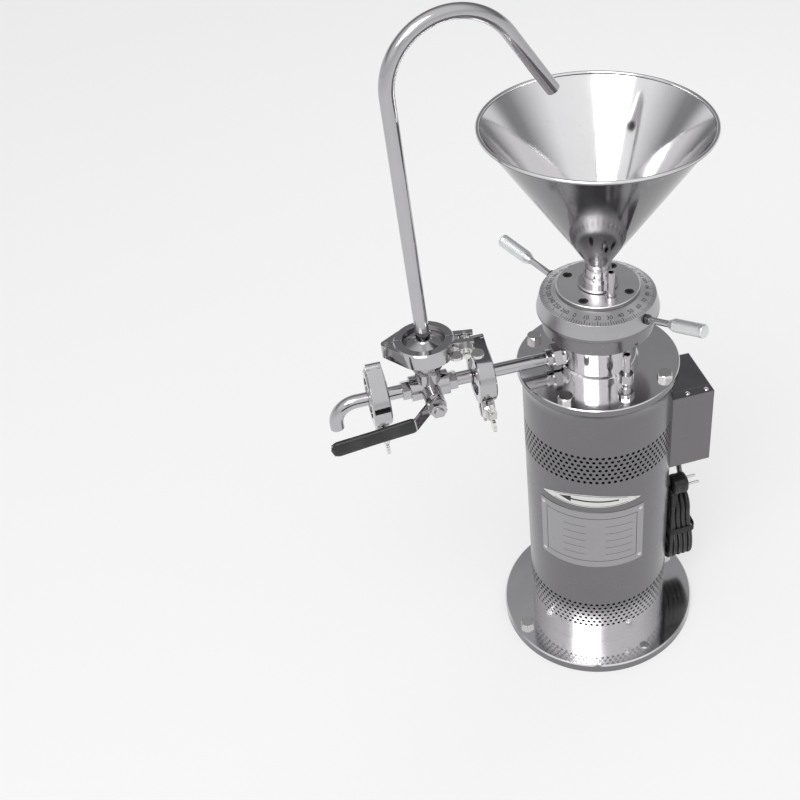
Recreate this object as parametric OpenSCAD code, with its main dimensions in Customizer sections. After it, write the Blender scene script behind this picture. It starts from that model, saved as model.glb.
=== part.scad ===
// Vertical colloid mill with a circulation line. A round housing holds the motor, whose shaft turns a
// toothed cone inside a toothed ring. A dial with two handles sets the grinding gap, a hopper feeds the
// cone, and a three way valve sends the product to the spout or back up the pipe to the hopper.
// Millimetres, +Z up along the shaft, origin at the middle of the base's underside, outlet towards -X.

/* [Base] */
// Diameter of the round base plate
base_d = 250; // [240:1:300]
// Thickness of the base plate
base_t = 12; // [8:0.5:20]
// Distance from the plate's edge to the middle of each fixing hole
base_hole_edge = 15; // [13:0.5:18]
// Play of the fixing bolts in their holes
base_hole_play = 2; // [1:0.5:3]
// Angle of the first fixing hole
base_hole_turn = 13; // [5:1:20]
// Thread diameter of the fixing bolts
base_bolt_d = 10; // [8:0.5:12]

/* [Motor housing] */
// Outer diameter of the housing tube
shell_d = 175.4; // [172:0.2:180]
// Wall of the housing tube
shell_wall = 2; // [1.5:0.1:3]
// Height of the housing tube with its top ring
shell_h = 392; // [380:1:410]
// Height of the flared top ring
flare_h = 19; // [15:0.5:24]
// How far the top ring flares out past the tube
flare_w = 5.5; // [4:0.1:7]
// Thickness of the top plate
plate_t = 8; // [6:0.5:12]
// Pitch circle of the top plate's bolts
plate_bolt_pcd = 164; // [160:0.5:166]
// Thread diameter of the top plate's bolts
plate_bolt_d = 10; // [8:1:10]

/* [Vents] */
// Diameter of each vent hole
vent_d = 5.2; // [3:0.1:6]
// Holes in each row around the housing
vent_count = 26; // [20:2:40]
// Rows in each band
vent_rows = 5; // [3:1:6]
// Height from row to row
vent_row_pitch = 9; // [7:0.1:10]
// Height of the lower band's first row above the base plate
vent_low = 34; // [25:1:60]
// Height of the upper band's first row above the base plate
vent_high = 287; // [270:1:300]

/* [Motor] */
// Outer diameter of the ribbed motor frame
frame_d = 128; // [126:0.5:130]
// Wall of the motor frame
frame_wall = 6; // [5:0.5:7]
// Length of the motor frame
frame_len = 236; // [225:1:245]
// Height of the laminated core above the frame's lower end
core_rise = 55; // [45:1:65]
// Length of the laminated core
core_len = 100; // [80:1:110]
// Diameter of the motor's rotor
core_rotor_d = 76; // [72:0.5:78]
// Air gap between rotor and stator
core_gap = 0.5; // [0.3:0.05:0.8]
// Diameter of the shaft between its bearings
shaft_d = 28; // [27:0.5:30]
// Diameter of the shaft in the mill
shaft_mill_d = 20; // [18:0.5:21]
// Diameter of the cooling fan
fan_d = 128; // [110:1:134]

/* [Mill head] */
// Diameter of the casing's neck
neck_d = 86; // [85:0.5:90]
// Diameter of the grinding chamber
chamber_d = 72; // [71:0.5:74]
// Height of the casing
casing_h = 78; // [76:0.5:80]
// Height of the outlet axis above the top plate
outlet_rise = 15; // [14:0.5:18]
// Diameter of the lock ring
lock_d = 124; // [116:1:128]
// Height of the lock ring
lock_h = 19; // [16:0.5:20]
// Height of the lock ring above the top plate
lock_rise = 50; // [44:0.5:50]
// Diameter of the dial's rim
dial_d = 136; // [132:0.5:144]
// Diameter of the dial at the edge of its scale
dial_edge_d = 128; // [124:0.5:130]
// Diameter of the dial at the inner end of its scale
dial_inner_d = 93; // [92.5:0.5:100]
// Height of the grinding cone
rotor_h = 42; // [38:0.5:43]
// Diameter of the grinding cone at its foot
rotor_d = 56; // [50:0.5:57]
// Diameter of the grinding cone at its top
rotor_top_d = 33; // [30:0.5:36]
// Radial grinding gap
grind_gap = 0.3; // [0.2:0.05:0.4]
// Teeth on the cone and in the ring
tooth_count = 24; // [12:1:30]
// Depth of the grooves between teeth
tooth_depth = 2.4; // [1.5:0.1:2.6]
// Width of the grooves between teeth
groove_w = 2.4; // [1.5:0.1:3]

/* [Handles] */
// Angle of the front handle
handle_turn = -58.5; // [-70:0.5:-50]
// Upward slope of the handles
handle_slope = 14; // [8:0.5:16]
// Diameter of the handle rods
handle_rod_d = 7.5; // [6:0.1:9]
// Distance from the shaft's axis to a handle's tip
handle_reach = 140; // [130:1:150]
// Length of a handle's grip
grip_len = 45; // [36:1:50]
// Diameter of a handle's grip
grip_d = 15; // [12:0.2:17]

/* [Hopper] */
// Diameter of the hopper's mouth at the rim's middle
hopper_d = 236.5; // [210:0.5:250]
// Height of the hopper's cone
hopper_cone_h = 161; // [150:1:180]
// Diameter of the hopper's stem
hopper_stem_d = 26; // [24:0.5:27]
// Sheet thickness of the hopper
hopper_wall = 1.2; // [1:0.1:2]
// Diameter of the rolled rim
hopper_bead_d = 4.4; // [4:0.2:8]

/* [Outlet line] */
// Outer diameter of the pipes
pipe_d = 15; // [14:0.1:16]
// Wall of the pipes
pipe_wall = 1.2; // [1:0.1:1.6]
// Flange diameter of the clamped ferrules
ferrule_d = 50.5; // [49:0.1:52]
// Distance from the shaft's axis to the inlet clamp
inlet_clamp_x = 136; // [134:0.5:138]
// Distance from the shaft's axis to the valve
valve_x = 195; // [193:0.5:197]
// Distance from the shaft's axis to the spout clamp
spout_clamp_x = 251; // [249:0.5:254]
// Distance from the shaft's axis to the spout's mouth
spout_x = 298; // [296:0.5:310]
// Drop of the spout's mouth below the outlet axis
spout_drop = 30; // [28:0.5:50]
// Height of the top clamp above the outlet axis
top_clamp_rise = 54; // [52:0.5:60]

/* [Circulation pipe] */
// Straight length of the pipe, measured from the valve's middle
riser_len = 336.8; // [330:1:380]
// Bend radius of the pipe
riser_bend_r = 66.7; // [60:0.1:75]
// Bend angle of the pipe
riser_bend = 148; // [135:1:155]
// Length of the pipe's end past the bend
riser_end = 78.8; // [60:0.1:80]
// Lean of the pipe away from the mill
riser_lean = 1.45; // [0:0.05:2]
// Angle of the pipe's arch about its riser
riser_turn = 8.3; // [0:0.1:15]

/* [Valve lever] */
// Length of the lever from the stem to its tip
lever_len = 115; // [105:1:125]
// Height of the lever's strip
lever_w = 14; // [10:0.5:15]
// Thickness of the lever's strip
lever_t = 3; // [2:0.1:3.5]
// How far the lever is cranked out
lever_crank = 17; // [12:0.5:20]
// Droop of the lever at rest
lever_droop = 6; // [0:0.5:8]

/* [Junction box] */
// Width of the box along X, from the shaft's axis plane to its outer face
box_x = 132; // [126:1:140]
// Width of the box along Y
box_w = 76; // [70:1:84]
// Height of the box
box_h = 108; // [90:1:116]
// Height of the box's underside above the base plate
box_rise = 235; // [225:1:250]
// Wall of the box
box_wall = 3; // [2:0.1:4]
// Depth of the box's cover
box_cover = 12; // [8:0.5:14]

/* [Hidden] */
$fn = 64;

// Clearances
thread_gap = 0.05;
running_gap = 0.08;
seat_gap = 0.3;
press_gap = 0.02;

// Head sizes of a hexagon bolt per millimetre of thread
head_flats_ratio = 1.6;
head_h_ratio = 0.64;

// Levels along the shaft
shell_r = shell_d / 2;
shell_bore_r = shell_r - shell_wall;
plate_r = shell_r + flare_w;
shell_top = base_t + shell_h;
plate_top = shell_top + plate_t;
outlet_z = plate_top + outlet_rise;
casing_top = plate_top + casing_h;
lock_z = plate_top + lock_rise;
dial_z = lock_z + lock_h + 2;

steel = "silver";
dark_steel = "dimgray";

// Hexagonal bar standing on the floor, sized across its flats
module hex_bar(flats, h) {
    cylinder(d = flats / cos(30), h = h, $fn = 6);
}

// Straight tube standing on the floor
module tube(outer_r, inner_r, h) {
    difference() {
        cylinder(r = outer_r, h = h);
        translate([0, 0, -1])
            cylinder(r = inner_r, h = h + 2);
    }
}

// Copies its children evenly around the shaft
module around(count, radius, turn = 0) {
    for (i = [0 : count - 1])
        rotate([0, 0, turn + i * 360 / count])
            translate([radius, 0, 0])
                children();
}

// Hexagon head bolt with its head's underside at height zero
module hex_bolt(d, shank) {
    head_flats = head_flats_ratio * d;
    head_h = head_h_ratio * d;
    bevel_foot = 1.7 * head_flats;
    bevel_top = 0.95 * head_flats;
    translate([0, 0, -shank])
        cylinder(d = d, h = shank + 1);
    intersection() {
        hex_bar(head_flats, head_h);
        cylinder(d1 = bevel_foot, d2 = bevel_top, h = head_h);
    }
}

// Ball bearing with recessed shields between its rings
module bearing(outer_d, bore_d, w) {
    ring_share = 0.13;
    shield_in = bore_d / 2 + (outer_d - bore_d) * ring_share;
    shield_out = outer_d / 2 - (outer_d - bore_d) * ring_share;
    recess = 0.6;
    rotate_extrude()
        difference() {
            translate([bore_d / 2, 0])
                square([(outer_d - bore_d) / 2, w]);
            translate([shield_in, -1])
                square([shield_out - shield_in, 1 + recess]);
            translate([shield_in, w - recess])
                square([shield_out - shield_in, 1 + recess]);
        }
}

// Base plate and its bolts
base_hole_d = base_bolt_d + base_hole_play;
base_hole_r = base_d / 2 - base_hole_edge;
base_chamfer = 1.5;

module base_plate() {
    color(steel)
        difference() {
            rotate_extrude($fn = 128)
                polygon([[0, 0], [base_d / 2, 0], [base_d / 2, base_t - base_chamfer],
                         [base_d / 2 - base_chamfer, base_t], [0, base_t]]);
            around(4, base_hole_r, base_hole_turn)
                translate([0, 0, -1])
                    cylinder(d = base_hole_d, h = base_t + 2);
        }
}

module hold_down_bolts() {
    color(steel)
        around(2, base_hole_r, base_hole_turn)
            translate([0, 0, base_t])
                hex_bolt(base_bolt_d, base_t - 1);
}

// Housing tube with its flared top ring and two bands of vent holes
flare_r = (pow(flare_w, 2) + pow(flare_h, 2)) / (2 * flare_w);
wire_hole_d = 16;
wire_hole_rise = 266;

module shell_profile() {
    translate([shell_bore_r, base_t])
        square([shell_wall, shell_h - flare_h]);
    difference() {
        translate([ring_r, shell_top - flare_h])
            square([plate_r - ring_r, flare_h]);
        translate([shell_r + flare_r, shell_top - flare_h])
            circle(r = flare_r);
    }
}

module vent_band(first_row) {
    for (row = [0 : vent_rows - 1])
        for (i = [0 : vent_count - 1])
            rotate([0, 0, (i + (row % 2) / 2) * 360 / vent_count])
                translate([shell_bore_r - 1, 0, base_t + first_row + row * vent_row_pitch])
                    rotate([0, 90, 0])
                        cylinder(d = vent_d, h = shell_wall + 2);
}

module motor_shell() {
    color(steel)
        difference() {
            rotate_extrude($fn = 128)
                shell_profile();
            vent_band(vent_low);
            vent_band(vent_high);
            around(4, plate_bolt_pcd / 2, 45)
                translate([0, 0, shell_top - flare_h + 3])
                    cylinder(d = plate_bolt_d + 2 * thread_gap, h = flare_h);
            translate([shell_bore_r - 2, 0, base_t + wire_hole_rise])
                rotate([0, 90, 0])
                    cylinder(d = wire_hole_d, h = shell_wall + 4);
        }
}

// Top plate: drive end shield of the motor with its bearing seat, held down by four bolts
spigot_h = 8;
plate_bolt_play = 0.6;
upper_bearing_d = 52;
upper_bearing_bore = 25;
upper_bearing_w = 15;
boss_wall = 8;
seal_d = 35;
plate_under = shell_top - spigot_h;
upper_bearing_z = plate_under - upper_bearing_w - 9;

module top_plate() {
    boss_r = upper_bearing_d / 2 + boss_wall;
    color(steel)
        difference() {
            union() {
                rotate_extrude($fn = 128)
                    polygon([[0, shell_top], [plate_r, shell_top], [plate_r, plate_top - 1],
                             [plate_r - 1, plate_top], [0, plate_top]]);
                translate([0, 0, plate_under])
                    cylinder(r = ring_r - running_gap, h = spigot_h + 1);
                translate([0, 0, upper_bearing_z])
                    cylinder(r = boss_r, h = plate_under - upper_bearing_z + 1);
            }
            translate([0, 0, upper_bearing_z - 1])
                cylinder(d = upper_bearing_d + 2 * press_gap, h = upper_bearing_w + 1);
            translate([0, 0, upper_bearing_z])
                cylinder(d = seal_d + 2 * press_gap, h = plate_top);
            around(4, plate_bolt_pcd / 2, 45)
                translate([0, 0, plate_under - 1])
                    cylinder(d = plate_bolt_d + plate_bolt_play, h = spigot_h + plate_t + 2);
            around(4, tie_r)
                translate([0, 0, plate_under - 1])
                    cylinder(d = tie_d + 2 * thread_gap, h = spigot_h - 1);
        }
}

module plate_bolts() {
    color(steel)
        around(4, plate_bolt_pcd / 2, 45)
            translate([0, 0, plate_top])
                hex_bolt(plate_bolt_d, plate_t + flare_h - 4);
}

// Motor: ribbed frame hung from the top plate by tie bolts, with core, windings and end shield
frame_bottom = plate_under - frame_len;
frame_bore_r = frame_d / 2 - frame_wall;
fin_reach = 8;
fin_count = 24;
fin_t = 2.5;
tie_d = 6;
tie_play = 0.5;
ring_play = 1.5;
tie_r = frame_d / 2 + tie_d / 2 + tie_play;
ring_r = tie_r + tie_d / 2 + ring_play;
core_z = frame_bottom + core_rise;
core_bore_r = core_rotor_d / 2 + core_gap;
slot_count = 24;
slot_w = 5;
core_back = 7.5;
slot_depth = frame_bore_r - core_bore_r - core_back;
lower_bearing_d = 47;
lower_bearing_bore = 20;
lower_bearing_w = 14;
shield_t = 10;
shield_r = frame_d / 2 + fin_reach + 1;
lower_bearing_z = frame_bottom - lower_bearing_w - 2;

module motor_frame() {
    color(dark_steel)
        difference() {
            union() {
                translate([0, 0, frame_bottom])
                    cylinder(d = frame_d, h = frame_len);
                around(fin_count, 0, 180 / fin_count)
                    translate([frame_bore_r + 1, -fin_t / 2, frame_bottom + 6])
                        cube([frame_wall + fin_reach - 1, fin_t, frame_len - 40]);
            }
            translate([0, 0, frame_bottom - 1])
                cylinder(r = frame_bore_r, h = frame_len + 2);
        }
}

module slots(gap) {
    around(slot_count, 0)
        translate([core_bore_r - 1, -slot_w / 2 - gap, core_z - 1])
            cube([slot_depth + 1 + gap, slot_w + 2 * gap, core_len + 2]);
}

module stator_core() {
    color(dark_steel)
        difference() {
            translate([0, 0, core_z])
                tube(frame_bore_r - press_gap, core_bore_r, core_len);
            slots(0.1);
        }
}

// Windings: a bar in every slot and a rounded overhang at each end of the core
module overhang(z) {
    bead_r = slot_depth / 2;
    translate([0, 0, z])
        rotate_extrude() {
            translate([core_bore_r + 1.5, 0])
                square([2 * bead_r - 1.5, 14]);
            translate([core_bore_r + bead_r + 0.75, 14])
                circle(r = bead_r - 0.75);
        }
}

module stator_windings() {
    bar_in = 1.5;
    color("peru") {
        union() {
            translate([0, 0, core_z + core_len + 0.5])
                overhang(0);
            translate([0, 0, core_z - 0.5])
                mirror([0, 0, 1])
                    overhang(0);
            around(slot_count, 0)
                translate([core_bore_r + bar_in, -slot_w / 2, core_z - 1])
                    cube([slot_depth - bar_in, slot_w, core_len + 2]);
        }
    }
}

module motor_rotor() {
    end_ring = 8;
    color(dark_steel)
        difference() {
            union() {
                translate([0, 0, core_z])
                    cylinder(d = core_rotor_d, h = core_len);
                translate([0, 0, core_z - end_ring])
                    cylinder(d = core_rotor_d - 6, h = core_len + 2 * end_ring);
            }
            translate([0, 0, core_z - end_ring - 1])
                cylinder(d = shaft_d + 2 * press_gap, h = core_len + 2 * end_ring + 2);
        }
}

fan_shaft_d = 18;
fan_h = 30;
fan_z = lower_bearing_z - 14 - fan_h;
nut_shaft_d = 12;
rotor_z = plate_top + 30;
rotor_top = rotor_z + rotor_h;

// Stepped shaft from the fan up to the grinding cone's nut
module motor_shaft() {
    color(steel)
        rotate_extrude()
            polygon([[0, fan_z - 2], [fan_shaft_d / 2, fan_z - 2], [fan_shaft_d / 2, lower_bearing_z],
                     [lower_bearing_bore / 2 - thread_gap, lower_bearing_z],
                     [lower_bearing_bore / 2 - thread_gap, frame_bottom + 1],
                     [shaft_d / 2, frame_bottom + 1], [shaft_d / 2, upper_bearing_z - 1],
                     [upper_bearing_bore / 2 - thread_gap, upper_bearing_z - 1],
                     [upper_bearing_bore / 2 - thread_gap, upper_bearing_z + upper_bearing_w + 2],
                     [shaft_mill_d / 2, upper_bearing_z + upper_bearing_w + 2],
                     [shaft_mill_d / 2, rotor_top], [nut_shaft_d / 2, rotor_top],
                     [nut_shaft_d / 2, rotor_top + 9], [0, rotor_top + 9]]);
}

module lower_end_shield() {
    boss_r = lower_bearing_d / 2 + boss_wall;
    boss_bottom = lower_bearing_z - 5;
    color(dark_steel)
        difference() {
            union() {
                translate([0, 0, frame_bottom - shield_t])
                    cylinder(r = shield_r, h = shield_t);
                translate([0, 0, boss_bottom])
                    cylinder(r = boss_r, h = frame_bottom - boss_bottom);
            }
            translate([0, 0, lower_bearing_z])
                cylinder(d = lower_bearing_d + 2 * press_gap, h = lower_bearing_w + 5);
            translate([0, 0, boss_bottom - 1])
                cylinder(d = fan_shaft_d + 2, h = 10);
            around(4, tie_r)
                translate([0, 0, frame_bottom - shield_t - 1])
                    cylinder(d = tie_d + 2 * thread_gap, h = shield_t + 2);
        }
}

module tie_bolts() {
    color(steel)
        around(4, tie_r)
            translate([0, 0, frame_bottom - shield_t])
                mirror([0, 0, 1])
                    hex_bolt(tie_d, shield_t + frame_len + spigot_h - 3);
}

module shaft_bearings() {
    color(steel) {
        translate([0, 0, lower_bearing_z])
            bearing(lower_bearing_d, lower_bearing_bore, lower_bearing_w);
        translate([0, 0, upper_bearing_z])
            bearing(upper_bearing_d, upper_bearing_bore, upper_bearing_w);
    }
}

module cooling_fan() {
    hub_r = fan_shaft_d / 2 + 8;
    blade_t = 2;
    color("dimgray")
        difference() {
            union() {
                translate([0, 0, fan_z])
                    cylinder(r = hub_r, h = fan_h);
                translate([0, 0, fan_z + fan_h - 3])
                    cylinder(d = fan_d, h = 3);
                around(8, 0)
                    translate([hub_r - 1, -blade_t / 2, fan_z + 2])
                        cube([fan_d / 2 - hub_r, blade_t, fan_h - 3]);
            }
            translate([0, 0, fan_z - 1])
                cylinder(d = fan_shaft_d + 2 * press_gap, h = fan_h + 2);
        }
}

module fan_cowl() {
    sheet = 1.2;
    cowl_bottom = fan_z - 8;
    cowl_r = shield_r + press_gap;
    color("dimgray")
        difference() {
            translate([0, 0, cowl_bottom])
                cylinder(r = cowl_r + sheet, h = frame_bottom - 1 - cowl_bottom);
            translate([0, 0, cowl_bottom + sheet])
                cylinder(r = cowl_r, h = frame_bottom - cowl_bottom);
            translate([0, 0, cowl_bottom - 1])
                cylinder(d = fan_d * 0.7, h = sheet + 2);
        }
}

module shaft_seal() {
    seal_bottom = plate_under + 2;
    seal_top = rotor_z - 6;
    lip_r = seal_d / 2 - 2.5;
    color("black")
        difference() {
            union() {
                translate([0, 0, seal_bottom])
                    cylinder(d = seal_d, h = plate_top + casing_floor - seal_bottom);
                translate([0, 0, seal_bottom])
                    cylinder(r = lip_r, h = seal_top - seal_bottom);
            }
            translate([0, 0, seal_bottom - 1])
                cylinder(d = shaft_mill_d + 2 * running_gap, h = seal_top - seal_bottom + 2);
        }
}

// Mill head: casing on the top plate, lock ring and adjusting dial on the casing's neck
casing_floor = 7;
casing_flange_d = 92;
casing_flange_t = 4.5;
outlet_boss_x = 46;
outlet_boss_d = 23;
pipe_r = pipe_d / 2;
pipe_bore_r = pipe_r - pipe_wall;

// Frame of the outlet line: the children's +Z runs outwards along the outlet and +X is up
module along_outlet(distance) {
    translate([0, 0, outlet_z])
        rotate([0, -90, 0])
            translate([0, 0, distance])
                children();
}

module mill_casing() {
    color(steel)
        difference() {
            union() {
                rotate_extrude($fn = 96)
                    polygon([[seal_d / 2 + press_gap, plate_top], [casing_flange_d / 2, plate_top],
                             [casing_flange_d / 2, plate_top + casing_flange_t],
                             [neck_d / 2, plate_top + casing_flange_t + 2], [neck_d / 2, casing_top],
                             [chamber_d / 2, casing_top], [chamber_d / 2, plate_top + casing_floor],
                             [seal_d / 2 + press_gap, plate_top + casing_floor]]);
                along_outlet(chamber_d / 2 + 2)
                    cylinder(d = outlet_boss_d, h = outlet_boss_x - chamber_d / 2 - 2);
            }
            along_outlet(chamber_d / 2 - 8)
                cylinder(r = pipe_r + press_gap, h = 40);
        }
}

module lock_ring() {
    notch_w = 8;
    color(steel)
        difference() {
            rotate_extrude($fn = 96)
                polygon([[neck_d / 2 + thread_gap, lock_z], [lock_d / 2 - 1.5, lock_z],
                         [lock_d / 2, lock_z + 1.5], [lock_d / 2, lock_z + lock_h - 1.5],
                         [lock_d / 2 - 1.5, lock_z + lock_h], [neck_d / 2 + thread_gap, lock_z + lock_h]]);
            around(4, lock_d / 2 - 3, 20)
                translate([0, -notch_w / 2, lock_z - 1])
                    cube([10, notch_w, 7]);
        }
}

dial_rim_h = 5;
dial_taper_h = 16;
dial_scale_h = 6;
dial_top = dial_z + dial_rim_h + dial_taper_h + dial_scale_h;
dial_bore_r = neck_d / 2 + running_gap;
handle_z = dial_z + dial_rim_h + dial_taper_h / 2;
handle_depth = 16;
handle_pivot_r = dial_edge_d / 2;
handle_root_r = dial_d / 2 - handle_depth;
grip_cap = 4;

// Frame of a handle: +Z runs outwards along the rod from its root in the dial
module along_handle(turn) {
    rotate([0, 0, turn])
        translate([handle_pivot_r, 0, handle_z])
            rotate([0, 90 - handle_slope, 0])
                translate([0, 0, handle_root_r - handle_pivot_r])
                    children();
}

handle_turns = [handle_turn, handle_turn + 180];
handle_len = (handle_reach - handle_pivot_r) / cos(handle_slope) + handle_pivot_r - handle_root_r;

module adjusting_dial() {
    color(steel)
        difference() {
            rotate_extrude($fn = 128)
                polygon([[dial_bore_r, dial_z], [dial_d / 2 - 1.5, dial_z], [dial_d / 2, dial_z + 1.5],
                         [dial_d / 2, dial_z + dial_rim_h],
                         [dial_edge_d / 2, dial_z + dial_rim_h + dial_taper_h],
                         [dial_inner_d / 2, dial_top], [dial_bore_r, dial_top]]);
            for (turn = handle_turns)
                along_handle(turn)
                    cylinder(d = handle_rod_d + 2 * thread_gap, h = handle_len);
        }
}

// Handles: a rod screwed into the dial and a grip that is fixed on the rod's end
module handle_rods() {
    color(steel)
        for (turn = handle_turns)
            along_handle(turn)
                cylinder(d = handle_rod_d, h = handle_len - grip_cap);
}

module handle_grips() {
    cone_len = 7;
    end_chamfer = 1.5;
    rod_r = handle_rod_d / 2 + press_gap;
    grip_r = grip_d / 2;
    color("gainsboro")
        for (turn = handle_turns)
            along_handle(turn)
                translate([0, 0, handle_len - grip_len])
                    rotate_extrude()
                        polygon([[rod_r, 0], [rod_r + 1.2, 0], [grip_r, cone_len],
                                 [grip_r, grip_len - end_chamfer], [grip_r - end_chamfer, grip_len],
                                 [0, grip_len], [0, grip_len - grip_cap + press_gap],
                                 [rod_r, grip_len - grip_cap + press_gap]]);
}

// Grinding set: the stator ring sits in a carrier that the dial's thread lifts
carrier_wall = 4;
carrier_r = chamber_d / 2 - running_gap;
stator_r = carrier_r - carrier_wall;
stator_z = rotor_z + 4;
stator_h = rotor_h - 2;
collar_z = casing_top + 2;
feed_z = dial_top + seat_gap;
feed_t = 4.7;
feed_top = feed_z + feed_t;
feed_spigot = 4;
feed_d = 92;
throat_r = 14;
cone_slope = (rotor_d - rotor_top_d) / 2 / rotor_h;
cone_angle = atan(cone_slope);
tooth_skew = 12;

function cone_r(z) = rotor_d / 2 - (z - rotor_z) * cone_slope;

// One ring of grooves that follow the cone, cut to the given depth on either side of its surface
module grooves(radius, z, inside, outside, skew) {
    around(tooth_count, radius)
        translate([0, 0, z])
            rotate([0, -cone_angle, 0])
                rotate([skew, 0, 0])
                    translate([-inside, -groove_w / 2, -8])
                        cube([inside + outside, groove_w, rotor_h + 20]);
}

module grinding_rotor() {
    color(steel)
        difference() {
            rotate_extrude()
                polygon([[shaft_mill_d / 2 + press_gap, rotor_z], [rotor_d / 2, rotor_z],
                         [rotor_top_d / 2, rotor_top], [shaft_mill_d / 2 + press_gap, rotor_top]]);
            grooves(rotor_d / 2, rotor_z, tooth_depth, 6, tooth_skew);
        }
}

module grinding_stator() {
    foot_r = cone_r(stator_z) + grind_gap;
    top_r = cone_r(stator_z + stator_h) + grind_gap;
    color(steel)
        difference() {
            rotate_extrude()
                polygon([[foot_r, stator_z], [stator_r - press_gap, stator_z],
                         [stator_r - press_gap, stator_z + stator_h], [top_r, stator_z + stator_h]]);
            grooves(foot_r, stator_z, 6, tooth_depth, -tooth_skew);
        }
}

module stator_carrier() {
    collar_top = feed_z - feed_spigot;
    sleeve_top = stator_z + stator_h + seat_gap;
    color(steel)
        difference() {
            rotate_extrude()
                polygon([[stator_r, stator_z], [carrier_r, stator_z], [carrier_r, collar_z],
                         [neck_d / 2, collar_z], [neck_d / 2, collar_top], [throat_r + 4, collar_top],
                         [throat_r + 4, sleeve_top], [stator_r, sleeve_top]]);
            around(4, feed_screw_r, 45)
                translate([0, 0, collar_top - feed_screw_reach - 1])
                    cylinder(d = feed_screw_d + 2 * thread_gap, h = feed_screw_reach + 2);
        }
}

module rotor_nut() {
    nut_h = 14;
    color(steel)
        translate([0, 0, rotor_top])
            rotate_extrude()
                polygon([[nut_shaft_d / 2 + thread_gap, 0], [shaft_mill_d / 2 + 1.5, 0],
                         [shaft_mill_d / 2 + 1.5, 4], [4, nut_h], [0, nut_h], [0, 9.5],
                         [nut_shaft_d / 2 + thread_gap, 9.5]]);
}

// Feed flange on the stator carrier, with recessed socket screws
feed_screw_r = 37;
feed_screw_d = 6;
feed_screw_reach = 8;
screw_head_d = 9.5;
screw_head_h = 4;
nipple_r = 32;
nipple_turn = -85;

module feed_flange() {
    color(steel)
        difference() {
            union() {
                rotate_extrude($fn = 96)
                    polygon([[throat_r, feed_z], [feed_d / 2, feed_z], [feed_d / 2, feed_top - 0.8],
                             [feed_d / 2 - 0.8, feed_top], [throat_r, feed_top]]);
                translate([0, 0, feed_z - feed_spigot])
                    tube(neck_d / 2, throat_r, feed_spigot + 1);
            }
            around(4, feed_screw_r, 45) {
                translate([0, 0, feed_top - screw_head_h])
                    cylinder(d = screw_head_d + 1, h = 10);
                translate([0, 0, feed_z - feed_spigot - 1])
                    cylinder(d = feed_screw_d + 2 * thread_gap, h = 20);
            }
            rotate([0, 0, nipple_turn])
                translate([nipple_r, 0, feed_top - nipple_thread_h - 0.5])
                    cylinder(d = nipple_thread_d + 2 * thread_gap, h = nipple_thread_h + 2);
        }
}

module feed_flange_screws() {
    socket_flats = 5;
    shank = feed_t + feed_spigot - screw_head_h + feed_screw_reach;
    color(dark_steel)
        around(4, feed_screw_r, 45)
            translate([0, 0, feed_top - screw_head_h])
                difference() {
                    union() {
                        cylinder(d = screw_head_d, h = screw_head_h - 0.4);
                        translate([0, 0, -shank])
                            cylinder(d = feed_screw_d, h = shank + 1);
                    }
                    translate([0, 0, 1])
                        hex_bar(socket_flats, screw_head_h);
                }
}

// Cooling water nipples: one on the feed flange, one on the top plate
nipple_thread_d = 6;
nipple_thread_h = 2.5;
nipple_d = 9;
nipple_bore = 4.6;

module feed_water_nipple() {
    nipple_h = 34;
    mouth_bore = 5.8;
    collar_d = 13;
    collar_h = 4;
    thread_wall = 1.5;
    color(steel)
        rotate([0, 0, nipple_turn])
            translate([nipple_r, 0, feed_top])
                difference() {
                    union() {
                        cylinder(d = collar_d, h = collar_h);
                        cylinder(d = nipple_d, h = nipple_h);
                        translate([0, 0, -nipple_thread_h])
                            cylinder(d = nipple_thread_d, h = nipple_thread_h + 1);
                    }
                    translate([0, 0, -nipple_thread_h - 1])
                        cylinder(d = nipple_thread_d - 2 * thread_wall, h = nipple_thread_h + collar_h + 2);
                    translate([0, 0, collar_h])
                        cylinder(d = mouth_bore, h = nipple_h);
                }
}

module casing_water_nipple() {
    stand_r = 72.5;
    nut_flats = 14;
    nut_h = 10;
    stem_r = 4;
    cup_r = 7;
    cup_low = 17;
    cup_high = 25;
    cup_top = 27;
    spigot_r = 3.5;
    top_z = 46;
    color(steel)
        rotate([0, 0, nipple_turn])
            translate([stand_r, 0, plate_top])
                difference() {
                    union() {
                        hex_bar(nut_flats, nut_h);
                        rotate_extrude()
                            polygon([[0, 1], [stem_r, 1], [stem_r, cup_low], [cup_r, cup_high],
                                     [cup_r, cup_top], [spigot_r, cup_top], [spigot_r, top_z], [0, top_z]]);
                    }
                    translate([0, 0, nut_h + 2])
                        cylinder(d = nipple_bore, h = top_z);
                }
}

// Hopper: gasket, turned neck and spun cone with a rolled rim
hopper_gasket_t = 1.2;
neck_flange_d = 44;
neck_flange_t = 3;
hopper_neck_z = feed_top + hopper_gasket_t;
hopper_z = hopper_neck_z + 22;
stem_h = 6;
cone_z = hopper_z + stem_h;
stem_bore_r = hopper_stem_d / 2 - hopper_wall;

module hopper_gasket() {
    color("black")
        translate([0, 0, feed_top])
            tube(neck_flange_d / 2 - 0.5, stem_bore_r, hopper_gasket_t);
}

module hopper_neck() {
    collar_r = hopper_stem_d / 2 + 3.5;
    color(steel)
        rotate_extrude()
            polygon([[stem_bore_r, hopper_neck_z], [neck_flange_d / 2, hopper_neck_z],
                     [neck_flange_d / 2, hopper_neck_z + neck_flange_t],
                     [collar_r, hopper_neck_z + neck_flange_t], [collar_r, hopper_neck_z + 12],
                     [collar_r - 2, hopper_neck_z + 12], [collar_r - 2, hopper_z], [stem_bore_r, hopper_z]]);
}

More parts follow.
